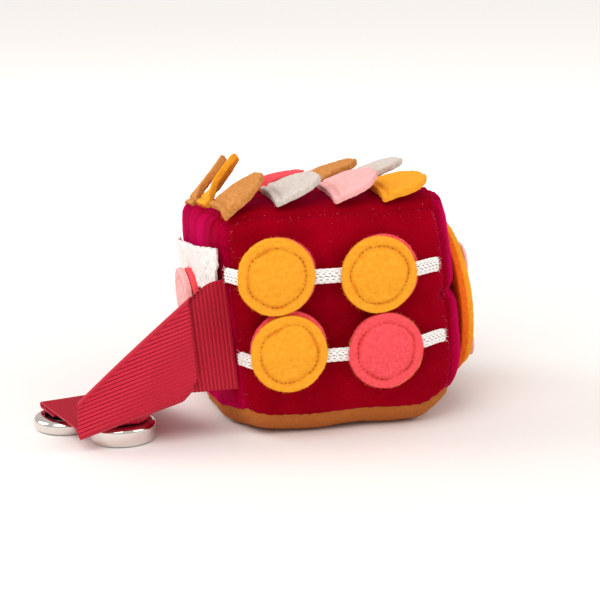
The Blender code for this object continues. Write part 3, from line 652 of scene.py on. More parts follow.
def make_materials():
    felts = {
        "marigold felt": ((0.90, 0.34, 0.018), (1.0, 0.45, 0.036)),
        "orange felt": ((0.80, 0.115, 0.008), (1.0, 0.19, 0.016)),
        "coral felt": ((0.86, 0.072, 0.090), (1.0, 0.115, 0.140)),
        "tan felt": ((0.52, 0.20, 0.045), (0.74, 0.33, 0.095)),
        "grey felt": ((0.60, 0.54, 0.50), (0.78, 0.71, 0.66)),
        "pink felt": ((0.90, 0.42, 0.42), (1.0, 0.56, 0.55)),
    }
    made = {name: felt_material(name, *colours) for name, colours in felts.items()}
    for name, colours in felts.items():
        darker = [tuple(part * 0.62 for part in colour) for colour in colours]
        made[name + " thread"] = felt_material(name + " thread", *darker)
    # The side velvet has painted sheen streaks in its colour.
    for name, painted_sheen_streaks in (("velvet", False), ("side velvet with painted sheen", True)):
        made[name] = velvet_material(name, painted_sheen_streaks)
    for name, low, high, scale in (
        ("tan cloth", (0.36, 0.10, 0.020), (0.52, 0.165, 0.038), 2600),
        ("white knit", (0.84, 0.80, 0.77), (0.95, 0.925, 0.90), 1800),
        ("stuffing", (0.78, 0.76, 0.72), (0.9, 0.88, 0.85), 700),
        # Painted shade: a dark brown for the nubs that stand in for the shade in the needle holes.
        ("needle hole shade", (0.10, 0.02, 0.004), (0.2, 0.045, 0.01), 2600),
    ):
        made[name] = plain_cloth_material(name, low, high, scale)
    made["white cord"] = cord_material()
    made["ribbon"] = ribbon_material()
    for name, colour, roughness, scratch_depth in (
        ("chrome", (0.80, 0.745, 0.70), 0.05, 0.002 * MM),
        ("magnet", (0.14, 0.14, 0.15), 0.4, 0.02 * MM),
        ("steel", (0.58, 0.57, 0.55), 0.28, 0.01 * MM),
    ):
        made[name] = metal_material(name, colour, roughness, scratch_depth)
    return made


# Modelling helpers


def deselect():
    bpy.ops.object.select_all(action="DESELECT")


def make_active(piece):
    deselect()
    piece.select_set(True)
    bpy.context.view_layer.objects.active = piece


def laid_grid(name, columns, rows, place):
    """A grid whose points are laid out by place(u, v), with u and v from 0 to 1."""
    deselect()
    bpy.ops.mesh.primitive_grid_add(x_subdivisions=columns, y_subdivisions=rows, size=1)
    piece = bpy.context.active_object
    piece.name = name
    piece.data.name = name
    for vertex in piece.data.vertices:
        vertex.co = place(vertex.co.x + 0.5, vertex.co.y + 0.5)
    return piece


def turn_outwards(piece, merged):
    """Turns a piece's faces outwards, after its doubled points are merged where asked."""
    make_active(piece)
    bpy.ops.object.mode_set(mode="EDIT")
    bpy.ops.mesh.select_all(action="SELECT")
    if merged:
        bpy.ops.mesh.remove_doubles(threshold=MERGE_DISTANCE)
    bpy.ops.mesh.normals_make_consistent(inside=False)
    bpy.ops.object.mode_set(mode="OBJECT")


def close_up(piece):
    """Merges the seams and poles of a closed grid and turns its faces outwards."""
    turn_outwards(piece, merged=True)
    return piece


def apply_modifier(piece, kind, **settings):
    make_active(piece)
    modifier = piece.modifiers.new(kind.lower(), kind)
    for key, value in settings.items():
        setattr(modifier, key, value)
    bpy.ops.object.modifier_apply(modifier=modifier.name)


def thicken(piece, thick, offset):
    """Gives a sheet its thickness: on its back at offset -1, and on both sides of it at 0."""
    apply_modifier(piece, "SOLIDIFY", thickness=thick, offset=offset, use_even_offset=False)
    turn_outwards(piece, merged=False)


def roughen(piece, depth, scale, seed):
    """Moves the points of a felt piece a little, as its fibres do."""
    for vertex, normal in zip(piece.data.vertices, [v.normal.copy() for v in piece.data.vertices]):
        vertex.co += normal * (depth * noise.noise(vertex.co * scale + Vector((seed, seed, seed))))


def place_key(point):
    """A place to the nearest thousandth of a millimetre, to look a point up by."""
    return tuple(round(part, 6) for part in point)


def mark(piece, name, values, default):
    """Keeps a value at each point of a piece, from a table of places."""
    marks = piece.data.attributes.new(name, "FLOAT", "POINT")
    for point, vertex in zip(marks.data, piece.data.vertices):
        point.value = values.get(place_key(vertex.co), default)


def slot_of(finish):
    """A finish's name, with underscores for its spaces."""
    return finish.replace(" ", "_")


def dress(piece, finish, body, replaced=()):
    piece.data.materials.clear()
    piece.data.materials.append(materials[finish])
    make_active(piece)
    bpy.ops.object.shade_smooth()
    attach(piece, body)
    if replaced:
        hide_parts(*replaced)


def smooth_step(t):
    t = min(max(t, 0), 1)
    return t * t * (3 - 2 * t)


def even(low, high, cells):
    return [low + (high - low) * k / cells for k in range(cells + 1)]


# Making the stuffed cube


def lean(height):
    """How far the cube leans to the left at a height."""
    return -LEAN_SHARE * (height - CENTRE_HEIGHT)


def sink(x, y, height):
    """How far the soft top has sunk at a place, along its left edge and along its back."""
    left = smooth_step((-x - SINK_LEFT_START) / SINK_LEFT_RUN)
    left *= smooth_step((y + HALF_WIDTH) / SINK_LEFT_DEPTH)
    back = smooth_step((y - SINK_BACK_START) / SINK_BACK_RUN)
    fade = max(height / (2 * HALF_HEIGHT), 0) ** SINK_POWER
    return (SINK_LEFT * left + SINK_BACK * back) * fade


def bulge(x, y, height):
    """How far the stuffing pushes the right side out at a place. Its foot tucks in instead."""
    across = max(x / HALF_WIDTH, 0) ** BULGE_RISE_POWER
    deep = max(1 - abs(y / HALF_WIDTH) ** BULGE_FALL_POWER, 0)
    tall = max(1 - abs((height - CENTRE_HEIGHT) / HALF_HEIGHT) ** BULGE_FALL_POWER, 0)
    low = smooth_step((RIGHT_TUCK_HEIGHT - height) / RIGHT_TUCK_HEIGHT)
    return across * (RIGHT_BULGE * deep * tall - RIGHT_TUCK * low)


def corner_shift(x, y, height):
    """How the stuffing fills the corners: the top right, the top left behind and the left foot.

    The foot of the right side lifts a little instead."""
    right = min(max(x / HALF_WIDTH, 0), 1)
    left = min(max(-x / HALF_WIDTH, 0), 1)
    above = max((height - CENTRE_HEIGHT) / HALF_HEIGHT, 0)
    below = max((CENTRE_HEIGHT - height) / HALF_HEIGHT, 0)
    behind = smooth_step(y / CORNER_FILL_DEPTH)
    front_corner = CORNER_FILL * (right * above) ** CORNER_FILL_POWER * (1 - behind)
    back_corner = BACK_CORNER_FILL * (left * above) ** BACK_CORNER_POWER * behind
    foot = (left * below) ** LEFT_FOOT_POWER * smooth_step((y + LEFT_FOOT_START) / LEFT_FOOT_RUN)
    lift = smooth_step((x - FOOT_LIFT_START) / FOOT_LIFT_RUN)
    lift *= smooth_step((RIGHT_TUCK_HEIGHT - height) / RIGHT_TUCK_HEIGHT)
    drop = min(LEFT_FOOT_DROP * foot, max(height, 0) * 0.5)
    out = front_corner - FOOT_TUCK * lift - LEFT_FOOT_OUT * foot
    return Vector((out, 0, front_corner + back_corner + FOOT_LIFT * lift - drop))


def block_point(a, b, c, grow=0.0):
    """Where the way (a, b, c) from the cube's middle meets its skin, or a skin grown outwards."""
    norm = (abs(a) ** SQUARENESS + abs(b) ** SQUARENESS + abs(c) ** SQUARENESS) ** (1 / SQUARENESS)
    height = CENTRE_HEIGHT + (HALF_HEIGHT + grow) * c / norm
    reach = (HALF_WIDTH + grow) / norm
    x = reach * a
    y = reach * b
    place = Vector((x + bulge(x, y, height) + lean(height), y, height - sink(x, y, height)))
    return place + corner_shift(x, y, height)


def crown_height(x, y):
    """The cube's height over a place, before it sinks."""
    across = min(abs(x) / HALF_WIDTH, 1)
    deep = min(abs(y) / HALF_WIDTH, 1)
    left = max(1 - across ** SQUARENESS - deep ** SQUARENESS, 0)
    return CENTRE_HEIGHT + HALF_HEIGHT * left ** (1 / SQUARENESS)


def crowd(low, high, share):
    """A place from low to high, with the places nearer together at both ends."""
    return (low + high) / 2 + (high - low) / 2 * sin(pi * (share - 0.5))


def seam_draw(here, to_side, to_end, run_of_side, run_of_end):
    """How far the cloth is drawn in at a place, with puckers that run out of the nearer seam.

    It goes by the place alone, so that two panels meet along the seam that they share."""
    near = min(to_side, to_end)
    draw = TUCK_DEPTH * exp(-((near / TUCK_REACH) ** 2)) + DRAW_DEPTH * exp(-near / DRAW_REACH)
    for distance, other, run in ((to_side, to_end, run_of_side), (to_end, to_side, run_of_end)):
        wander = noise.noise(Vector((run * 110, 4.0, 0)))
        strength = 0.6 + 0.8 * noise.noise(Vector((run * 80, 9.0, 0)))
        fade = exp(-distance / PUCKER_REACH) * (1 - exp(-other / PUCKER_REACH))
        draw += PUCKER_DEPTH * strength * fade * sin(2 * pi * run / PUCKER_PITCH + 4 * wander)
    crease = exp(-(((here.z - CREASE_HEIGHT) / CREASE_WIDTH) ** 2))
    crease *= smooth_step((here.x - CREASE_START) / CREASE_START_RUN)
    draw += CREASE_DEPTH * crease * (1 - smooth_step((here.y - CREASE_END) / CREASE_END_RUN))
    draw -= DENT_DEPTH * noise.noise(here * DENT_SCALE)
    return draw - DENT_DEPTH / 4 * noise.noise(here * DENT_SCALE * 3)


def panel_place(direction, u_range, v_range, along_u, along_v):
    """A function that lays out one sewn panel, crowned, dented and drawn in at its four seams."""

    def place(u, v):
        a = crowd(*u_range, u)
        b = crowd(*v_range, v)
        here = block_point(*direction(a, b))
        side = min((here - block_point(*direction(edge, b))).length for edge in u_range)
        end = min((here - block_point(*direction(a, edge))).length for edge in v_range)
        draw = seam_draw(here, side, end, here[along_v], here[along_u])
        point = block_point(*direction(a, b), grow=-draw)
        point.z = max(point.z, 0)
        return point

    return place


def make_cube():
    gap = SEAM_GAP / HALF_WIDTH
    side = (-1 + gap, 1 - gap)
    rise = (-BOTTOM_SEAM_SHARE + gap, 1 - gap)
    under = (-1 / BOTTOM_SEAM_SHARE + gap, 1 / BOTTOM_SEAM_SHARE - gap)
    panels = (
        ("front_panel", lambda a, c: (a, -1, c), side, rise, (0, 2), "velvet"),
        ("back_panel", lambda a, c: (-a, 1, c), side, rise, (0, 2), "velvet"),
        # The left and right panels have painted sheen streaks in their velvet's colour.
        ("left_panel", lambda b, c: (-1, -b, c), side, rise, (1, 2), "side velvet with painted sheen"),
        ("right_panel", lambda b, c: (1, b, c), side, rise, (1, 2), "side velvet with painted sheen"),
        ("top_panel", lambda a, b: (a, b, 1), side, side, (0, 1), "velvet"),
        ("bottom_panel", lambda a, b: (a, -b, -1), under, under, (0, 1), "tan cloth"),
    )
    for node, direction, u_range, v_range, axes, finish in panels:
        place = panel_place(direction, u_range, v_range, *axes)
        piece = laid_grid(node + "_cloth", PANEL_CELLS, PANEL_CELLS, place)
        thicken(piece, PANEL_THICK, -1.0)
        dress(piece, finish, "block", (node,))
        bpy.ops.object.shade_smooth_by_angle(angle=radians(60))
    core = close_up(new_object("stuffing_core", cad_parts["stuffing"].data.copy()))
    for vertex in core.data.vertices:
        x, y, height = vertex.co
        vertex.co += corner_shift(x - lean(height), y, height)
    apply_modifier(core, "SUBSURF", levels=1, render_levels=1)
    dress(core, "stuffing", "block", ("stuffing",))


def make_lint():
    """Stray fibres on the front of the velvet, more of them near its seams and flaps."""
    draw = random.Random(LINT_PLACE_SEED)
    roots = []
    for k in range(LINT_FIBRES):
        a = draw.uniform(*LINT_ACROSS)
        c = draw.uniform(*LINT_UP)
        if k % 2:
            a = draw.choice(LINT_SEAMS) + draw.gauss(0, LINT_SEAM_SPREAD)
        elif k % 3 == 0:
            c = LINT_TOP + draw.gauss(0, LINT_TOP_SPREAD)
        roots.append((block_point(a, -1, c, grow=-LINT_SINK), Vector(LINT_WAY)))
    lint = fibre_piece("velvet_lint", roots, LINT_LENGTHS, LINT_THICK, LINT_FIBRE_SEED)
    dress(lint, "pink felt", "block")


# Making the knitted cords


def cord_end(run, bend_angle):
    """A cord's line from its hidden tail, round a bend into the seam, to the end of its straight."""
    points = []
    for angle in even(bend_angle, 0, CORD_BEND_STEPS):
        in_bend = CORD_REACH - CORD_BEND_RADIUS * (1 - cos(angle))
        points.append((run + CORD_BEND_RADIUS * sin(angle), in_bend))
    tail = (points[0][0] + CORD_TAIL * cos(bend_angle), points[0][1] - CORD_TAIL * sin(bend_angle))
    return [tail] + points


def face_point(along, out, height, carrier_height, face):
    """A place over one face of the cube, from its run along a cord, its way out and its height."""
    across, deep = face
    shift = across * lean(carrier_height) + deep * lean(height)
    return Vector((across * along - deep * out + shift, deep * along - across * out, height))


def resample(points, step):
    """Evenly spaced places along a line of (along, out) pairs."""
    runs = [0.0]
    for a, b in zip(points, points[1:]):
        runs.append(runs[-1] + sqrt((b[0] - a[0]) ** 2 + (b[1] - a[1]) ** 2))
    count = int(runs[-1] / step)
    made = []
    k = 0
    for i in range(count + 1):
        target = runs[-1] * i / count
        while k < len(points) - 2 and runs[k + 1] < target:
            k += 1
        share = (target - runs[k]) / max(runs[k + 1] - runs[k], 1e-9)
        share = min(max(share, 0), 1)
        made.append(tuple(p + (q - p) * share for p, q in zip(points[k], points[k + 1])))
    return made, runs[-1]


def knit_relief(around, run):
    """Height of the stitches: columns of small slanted legs, two to a stitch."""
    column = around * KNIT_WALES
    wale = int(column)
    across = column - wale - 0.5
    stitch = run / KNIT_COURSE + 0.5 * (wale % 2)
    share = stitch - int(stitch)
    leg = LEG_LOW + LEG_SLANT * share
    apart = (abs(across) - leg) / LEG_HALF_WIDTH
    hump = sqrt(max(1 - apart * apart, 0))
    return hump * (0.55 + 0.45 * sin(pi * share) ** 0.5)


def drift(x, stations):
    """Height of the cord's gentle wave at x, from a few stations along it."""
    if x <= stations[0][0]:
        return stations[0][1]
    for (x0, z0), (x1, z1) in zip(stations, stations[1:]):
        if x <= x1:
            return z0 + (z1 - z0) * smooth_step((x - x0) / (x1 - x0))
    return stations[-1][1]


def cord_slope(start, end):
    """A cord's line from its straight at start down to its sewn end on the cloth."""
    line = []
    for share in even(0, 1, CORD_SLOPE_STEPS):
        along = start + (end[0] - start) * share
        line.append((along, CORD_REACH + (end[1] - CORD_REACH) * smooth_step(share)))
    return line


def rounded_square(wave):
    """A cosine or sine drawn out, so that the section it makes is fuller at its corners."""
    return abs(wave) ** CORD_SQUARENESS * (1 if wave > 0 else -1)


def make_cord(node, line, stations):
    height, width, face = CORDS[node]
    route, length = resample(line, KNIT_STEP)
    rows = len(route) - 1
    runs = []
    for i in range(rows + 1):
        before = route[max(i - 1, 0)]
        after = route[min(i + 1, rows)]
        runs.append(Vector((after[0] - before[0], after[1] - before[1])).normalized())
    stitches = {}

    def place(u, v):
        i = min(int(v * rows + 0.5), rows)
        along, out = route[i]
        run = runs[i]
        angle = 2 * pi * u
        height_share = knit_relief(u % 1, length * v)
        relief = KNIT_RELIEF * height_share
        from_end = min(i, rows - i)
        closing = CORD_CLOSING[from_end] if from_end < len(CORD_CLOSING) else 1.0
        half_wide = (width / 2 - KNIT_RELIEF * KNIT_SINK_WIDE + relief) * closing
        half_thick = (CORD_THICK / 2 - KNIT_RELIEF * KNIT_SINK_THICK + relief) * closing
        lift = half_wide * rounded_square(sin(angle)) + drift(along, stations)
        side = half_thick * rounded_square(cos(angle))
        point = face_point(along - side * run.y, out + side * run.x, height + lift, height, face)
        stitches[place_key(point)] = height_share
        return point

    piece = close_up(laid_grid(node + "_knit", KNIT_RING_POINTS, rows, place))
    # Keeps the knit relief, from which the cord's colour is given painted shade between the stitches.
    mark(piece, "stitch", stitches, 0.6)
    dress(piece, "white cord", "block", (node,))
    make_fray(node, (route[0], route[-1]), stations)


def make_fray(node, ends, stations):
    """Stray fibres where a cord is cut and sewn in."""
    height, width, face = CORDS[node]
    roots = []
    for (along, out), inward in zip(ends, (1, -1)):
        wave = drift(along, stations)
        middle = face_point(along + inward * FRAY_MIDDLE, out, height + wave, height, face)
        for angle in even(0, 2 * pi, FRAY_FIBRES)[1:]:
            inner = 0.7 + 0.3 * cos(angle * 7)
            lift = width / 2 * sin(angle) * inner + wave
            side = CORD_THICK / 2 * cos(angle) * inner
            end = face_point(along + inward * FRAY_START, out + side, height + lift, height, face)
            roots.append((end, end - middle))
    fuzz = fibre_piece(node + "_fray", roots, FRAY_LENGTHS, FRAY_THICK, height)
    dress(fuzz, "white knit", "block")


def make_cords():
    """Both front cords, which slope down into the seams, and the side one, which bends into them."""
    right = cord_slope(CORD_RIGHT_START, CORD_RIGHT_END)
    for node, left_end, stations in (
        ("upper_cord", UPPER_LEFT_END, UPPER_DRIFT),
        ("lower_cord", LOWER_LEFT_END, LOWER_DRIFT),
    ):
        left = cord_slope(CORD_LEFT_START, left_end)
        make_cord(node, left[::-1] + right, stations)
    end = cord_end(*SHORT_END)
    make_cord("side_cord", [(-along, out) for along, out in end] + end[::-1], SIDE_DRIFT)


# Making the felt pieces


def turned_felt(name, profile, place):
    """A felt layer cut to a closed outline: place(turn, share of the way out, level) gives its skin."""
    last = len(profile) - 1

    def lay(u, v):
        share, level = profile[min(int(v * last + 0.5), last)]
        return place(2 * pi * u, share, level)

    return close_up(laid_grid(name, FELT_AROUND, last, lay))


def felt_profile(radius, face_rows, rows_behind):
    """(radius share, thickness share) pairs: over the face, round the cut edge and over the back."""
    corner = FELT_ROUND / radius
    rise = FELT_ROUND / FELT_THICK
    turns = even(0, pi / 2, FELT_ROUND_STEPS)
    pairs = [(share, 1.0) for share in even(0, 1 - corner, face_rows)]
    pairs += [(1 - corner + corner * sin(turn), 1 - rise + rise * cos(turn)) for turn in turns[1:]]
    pairs.append((1.0, 0.5))
    pairs += [(1 - corner + corner * cos(turn), rise - rise * sin(turn)) for turn in turns]
    pairs += [(share, 0.0) for share in even(1 - corner, 0, rows_behind)[1:]]
    return pairs


def round_noise(angle, scale, seed):
    """A noise that closes on itself round a ring."""
    return noise.noise(Vector((cos(angle) * scale, sin(angle) * scale, seed)))


def stitch_radius(angle, seed):
    """The sewn ring wanders a little, as one sewn by hand does."""
    return STITCH_RING_RADIUS + STITCH_RING_WANDER * round_noise(angle, 1.3, seed)


def cut_radius(angle, seed):
    """The share of its radius at which a round felt is cut, as by hand."""
    return 1 + CUT_WANDER_SHARE * round_noise(angle, 2.1, seed + 5)


def disc_face(place_along, cord_height, lift_over_cord, face, side, seed, painted_groove_shade):
    """Places on one disc layer from its angle, radius share and thickness share."""
    middle = cord_height + lift_over_cord

    def place(angle, share, level):
        radius = DISC_RADIUS * share * cut_radius(angle, seed)
        along = radius * cos(angle)
        lift = radius * sin(angle)
        from_cord = (lift + lift_over_cord) / DISC_CHANNEL_WIDTH
        rise = DISC_LAYER_GAP / 2 + DISC_CHANNEL_RISE * exp(-(from_cord ** 2))
        crown = DISC_CROWN * exp(-((radius / (DISC_CROWN_SHARE * DISC_RADIUS)) ** 4))
        crown *= exp(-((lift / (2 * DISC_CHANNEL_WIDTH)) ** 2))
        out = rise * (1 - level) + (DISC_LAYER_GAP / 2 + crown + FELT_THICK) * level
        groove = 0.0
        if level > 0.5:
            groove = exp(-(((radius - stitch_radius(angle, seed)) / STITCH_GROOVE_WIDTH) ** 2))
            beat = 0.75 + 0.25 * cos(angle * STITCH_COUNT)
            puff = DISC_PUFF * smooth_step((DISC_PUFF_EDGE - share) / DISC_PUFF_RUN)
            out += puff - STITCH_GROOVE_DEPTH * groove * beat
        reach = CORD_REACH + side * out
        point = face_point(place_along + along, reach, middle + lift, cord_height, face)
        # Painted shade: how far the stitch groove darkens the felt's colour here.
        painted_groove_shade[place_key(point)] = groove * (0.6 + 0.8 * round_noise(angle, 1.3, seed + 9))
        return point

    return place


def thread_piece(name, spans, thick, bows, sides=THREAD_SIDES):
    """Short threads, each from its start to its end, with a bow in it and drawn in at both ends."""
    deselect()
    bpy.ops.mesh.primitive_cylinder_add(vertices=sides, radius=1, depth=1)
    piece = bpy.context.active_object
    piece.name = name
    piece.data.name = name
    bpy.ops.object.mode_set(mode="EDIT")
    bpy.ops.mesh.select_all(action="DESELECT")
    bpy.ops.object.mode_set(mode="OBJECT")
    for face in piece.data.polygons:
        face.select = abs(face.normal.z) < 0.5
    bpy.ops.object.mode_set(mode="EDIT")
    bpy.ops.mesh.subdivide(number_cuts=1)
    bpy.ops.object.mode_set(mode="OBJECT")
    size = len(piece.data.vertices)
    apply_modifier(
        piece,
        "ARRAY",
        count=len(spans),
        use_relative_offset=False,
        use_constant_offset=True,
        constant_offset_displace=(THREAD_SPACING, 0, 0),
    )
    for k, ((start, end), bow) in enumerate(zip(spans, bows)):
        along = end - start
        turn = along.to_track_quat("Z", "Y")
        for vertex in piece.data.vertices[k * size : (k + 1) * size]:
            x = vertex.co.x - k * THREAD_SPACING
            y, z = vertex.co.y, vertex.co.z
            waist = thick / 2 if abs(z) < 0.4 else thick * THREAD_END_SHARE
            vertex.co = start + along * (z + 0.5) + turn @ Vector((x * waist, y * waist, 0))
            vertex.co += bow * (sin(pi * (z + 0.5)) - 0.5)
    return piece


def fibre_piece(name, roots, lengths, thick, seed):
    """Loose fibres that stand out of a cut edge: roots are (place, way) pairs."""
    draw = random.Random(seed)
    spans = []
    bows = []
    for place, way in roots:
        stray = Vector([draw.uniform(-1, 1) for _ in range(3)])
        along = (way.normalized() + FIBRE_STRAY * stray).normalized() * draw.uniform(*lengths)
        spans.append((place - way.normalized() * FIBRE_ROOT, place + along))
        bows.append(Vector([draw.uniform(-1, 1) for _ in range(3)]) * FIBRE_BOW)
    return thread_piece(name, spans, thick, bows, FIBRE_SIDES)


def ring_place(place, angle, seed):
    """Where the sewn ring of a disc layer lies at an angle."""
    share = stitch_radius(angle, seed) / (DISC_RADIUS * cut_radius(angle, seed))
    return place(angle, share, 1.0)


def stitch_piece(name, place, out, seed):
    """The threads of a sewn ring, each bowed out between its two needle holes."""
    spans = []
    for k in range(STITCH_COUNT):
        spans.append([ring_place(place, 2 * pi * (k + end) / STITCH_COUNT, seed) for end in STITCH_ENDS])
    bow = out * STITCH_THICK * STITCH_BOW_SHARE
    return thread_piece(name, spans, STITCH_THICK, [bow] * STITCH_COUNT)


def hole_shade_piece(name, place, out, seed, side):
    """Painted shade at the needle holes of a sewn ring: dark nubs that stand in for the shade in the holes,
    apart from those that the felt has closed.
    """
    spans = []
    for k in range(STITCH_COUNT):
        astray = HOLE_ASTRAY * noise.noise(Vector((k * 2.3, seed, side)))
        angle = 2 * pi * (k + astray) / STITCH_COUNT
        if round_noise(angle, 1.4, seed + side) < HOLE_CLOSED:
            continue
        centre = ring_place(place, angle, seed + side)
        spans.append((centre - out * HOLE_SINK, centre + out * HOLE_RISE))
    return thread_piece(name, spans, HOLE_THICK, [Vector()] * len(spans))


def rim_roots(place):
    """Where fibres stand out of a round cut edge, and which way."""
    roots = []
    for angle in even(0, 2 * pi, EDGE_FIBRES)[1:]:
        rim = place(angle, 1.0, 0.5)
        roots.append((rim, rim - place(angle, 0.5, 0.5)))
    return roots


def make_disc(name, along, lift, seed, layers, finishes):
    """A bead disc: two felt layers sewn to each other round a cord."""
    cord = name.split("_")[0] + "_cord"
    height, _, face = CORDS[cord]
    shifts = ((0, 0), BACK_LAYER_SHIFTS.get(name, (0, 0)))
    for side, layer, finish, (over, up) in zip((1, -1), layers, finishes, shifts):
        node = f"{name}_{layer}"
        slot = slot_of(finish)
        painted_groove_shade = {}
        place = disc_face(along + over, height, lift + up, face, side, seed + side, painted_groove_shade)
        piece = turned_felt(node + "_felt", felt_profile(DISC_RADIUS, *DISC_FELT_ROWS), place)
        # Keeps the stitch groove's painted shade for the felt's colour.
        mark(piece, "crease", painted_groove_shade, 0.0)
        roughen(piece, DISC_NAP, NAP_SCALE, seed)
        dress(piece, finish, name, (node,))
        out = Vector((-face[1], -face[0], 0)) * side
        threads = stitch_piece(node + "_stitches", place, out, seed + side)
        dress(threads, finish + " thread", name)
        # Dark nubs of painted shade at the needle holes.
        dress(hole_shade_piece(node + "_needle_hole_shade", place, out, seed, side), "needle hole shade", name)
        fuzz = fibre_piece(node + "_fibres", rim_roots(place), FIBRE_LENGTHS, FIBRE_THICK, seed + side)
        dress(fuzz, finish, name)


def leaf_half_width(t, width):
    """Half the width of a leaf at a share of its length: straight, then round to its tip."""
    if t <= SHOULDER_SHARE:
        return width / 2
    beyond = (min(t, 1) - SHOULDER_SHARE) / (1 - SHOULDER_SHARE)
    return width / 2 * sqrt(max(1 - beyond ** TIP_POWER, 0))


def flap_seat(row, column):
    """Where a flap's root lies: its middle, and how fast the root rises towards the front."""
    x = FLAP_PLACES[column]
    y = (row - 1) * FLAP_ROW_PITCH
    seat_x = x - lean(CENTRE_HEIGHT + HALF_HEIGHT)
    offsets = even(-FLAP_WIDTH / 2, FLAP_WIDTH / 2, 4)
    sunk = [sink(seat_x, y + off, crown_height(seat_x, y + off)) for off in offsets]
    rise = (sunk[-1] - sunk[0]) / FLAP_WIDTH
    lowest = min(depth - rise * off for depth, off in zip(sunk, offsets))
    return Vector((x, y, crown_height(seat_x, y) - lowest + CLEAR)), seat_x, rise


def flap_place(row, column, twist, length):
    """Places on one flap from its length share, its offset from the middle line and its level."""
    root, seat_x, rise = flap_seat(row, column)
    tilt = radians(FLAP_TILTS[FLAP_ROWS[row]][column])
    lift = Vector((-sin(tilt), 0, cos(tilt)))
    seed = 3.1 * row + 1.3 * column

    def place(t, off, level):
        half = leaf_half_width(t, FLAP_WIDTH)
        seated = 1 - smooth_step(t / SHOULDER_SHARE) if row else 0
        if twist:
            off *= 1 - TWISTED_ROOT_PINCH * seated
        turn = twist * smooth_step(t / SHOULDER_SHARE)
        run = length * t
        centre = root + Vector((run * cos(tilt), 0, run * sin(tilt)))
        across = Vector((-sin(turn), -cos(turn), sin(turn) * cos(tilt) + rise))
        drop = crown_height(seat_x, root.y) - crown_height(seat_x, root.y - off)
        drop *= FLAP_DROOP_SHARE * (1 - (1 - FLAP_TIP_DROOP_SHARE) * t)
        under = crown_height(seat_x, root.y - off)
        filled = FLAP_SEAT_SHARE * corner_shift(seat_x, root.y - off, under).z
        under += filled - sink(seat_x, root.y - off, under)
        drop += seated * (root.z + rise * off - CLEAR - under - drop)
        cup = FLAP_CUP * t * (off / max(half, FLAP_CUP_HALF)) ** 2
        seam = FLAP_SEAM_DEPTH * exp(-(((run - FLAP_SEAM_PLACE) / FLAP_SEAM_WIDTH) ** 2))
        wave = FLAP_WAVE * noise.noise(Vector((t * 2, off * 130, seed))) * t
        raised = FELT_THICK * level - (seam if level > 0.5 else 0) + wave
        return centre + across * off + lift * raised + Vector((0, 0, cup - drop))

    return place, seed


def leaf_outline(length, width, count):
    """Evenly spaced (run share, offset) places round a leaf with a straight root and a round tip."""
    side = [(0.0, width * k / LEAF_ROOT_CELLS / 2) for k in range(LEAF_ROOT_CELLS - 1)]
    side.append((LEAF_CORNER_RUN, width / 2 * LEAF_CORNER_WIDTH))
    for share in even(LEAF_SIDE_START, 1, LEAF_SIDE_CELLS):
        t = LEAF_END_SHARE * sin(pi / 2 * share)
        side.append((t, leaf_half_width(t, width)))
    side.append((1.0, 0.0))
    route, _ = resample([(t * length, off) for t, off in side], length / LEAF_STEPS)
    half = route[:: max(len(route) // (count // 2), 1)]
    whole = half + [(t, -off) for t, off in reversed(half[1:-1])]
    return [(t / length, off) for t, off in whole]


def leaf_felt(name, length, width, place):
    """A felt leaf: place(run share, offset, level) gives its skin."""
    outline = leaf_outline(length, width, LEAF_POINTS)
    profile = felt_profile(width / 2, *LEAF_FELT_ROWS)
    last = len(profile) - 1
    count = len(outline)

    def lay(u, v):
        share, level = profile[min(int(v * last + 0.5), last)]
        t, off = outline[int(u * count + 0.5) % count]
        frayed = share * (1 + 0.015 * noise.noise(Vector((t * 9, off * 700, 3))))
        return place(LEAF_MIDDLE + (t - LEAF_MIDDLE) * frayed, off * frayed, level)

    return close_up(laid_grid(name, count, last, lay))


def make_flaps():
    for row, row_name in enumerate(FLAP_ROWS):
        for column, felt in enumerate(FLAP_FELTS[row_name]):
            node = f"{row_name}_flap_{column + 1}"
            twisted = node in TWISTED_FLAPS
            length = TWISTED_FLAP_LENGTH if twisted else FLAP_LENGTH
            place, seed = flap_place(row, column, FLAP_TWIST if twisted else 0.0, length)
            piece = leaf_felt(node + "_felt", length, FLAP_WIDTH, place)
            roughen(piece, FLAP_NAP, NAP_SCALE, seed)
            dress(piece, f"{felt} felt", node, (node,))
            roots = []
            for t, off in leaf_outline(length, FLAP_WIDTH, EDGE_FIBRES):
                rim = place(t, off, 0.5)
                roots.append((rim, rim - place(0.5 + 0.5 * (t - 0.5), off / 2, 0.5)))
            fuzz = fibre_piece(node + "_fibres", roots, FIBRE_LENGTHS, FIBRE_THICK, seed)
            dress(fuzz, f"{felt} felt", node)


def rosette_point(radius, angle, out):
    """A place over the right side, from its radius and angle on the rosette and its way out."""
    flare = ROSETTE_FLARE * (radius / ROSETTE_RADIUS) ** 3
    height = ROSETTE_HEIGHT + radius * sin(angle)
    x = HALF_WIDTH + RIGHT_BULGE + CLEAR + out + flare + lean(height)
    return Vector((x, ROSETTE_DEPTH_OFFSET + radius * cos(angle), height))


def make_rosette():
    for node, radius, out, finish in (
        ("rosette_base", ROSETTE_RADIUS, 0.0, "orange felt"),
        ("rosette_top", ROSETTE_TOP_RADIUS, FELT_THICK + CLEAR, "marigold felt"),
    ):

        def place(angle, share, level, radius=radius, out=out):
            reach = radius * share * cut_radius(angle, radius / MM)
            return rosette_point(reach, angle, out + FELT_THICK * level)

        piece = turned_felt(node + "_felt", felt_profile(radius, *ROSETTE_FELT_ROWS), place)
        roughen(piece, ROSETTE_NAP, ROSETTE_NAP_SCALE, radius / MM)
        dress(piece, finish, "block", (node,))
    for number in range(PETAL_COUNT):
        make_petal(number, "pink felt")


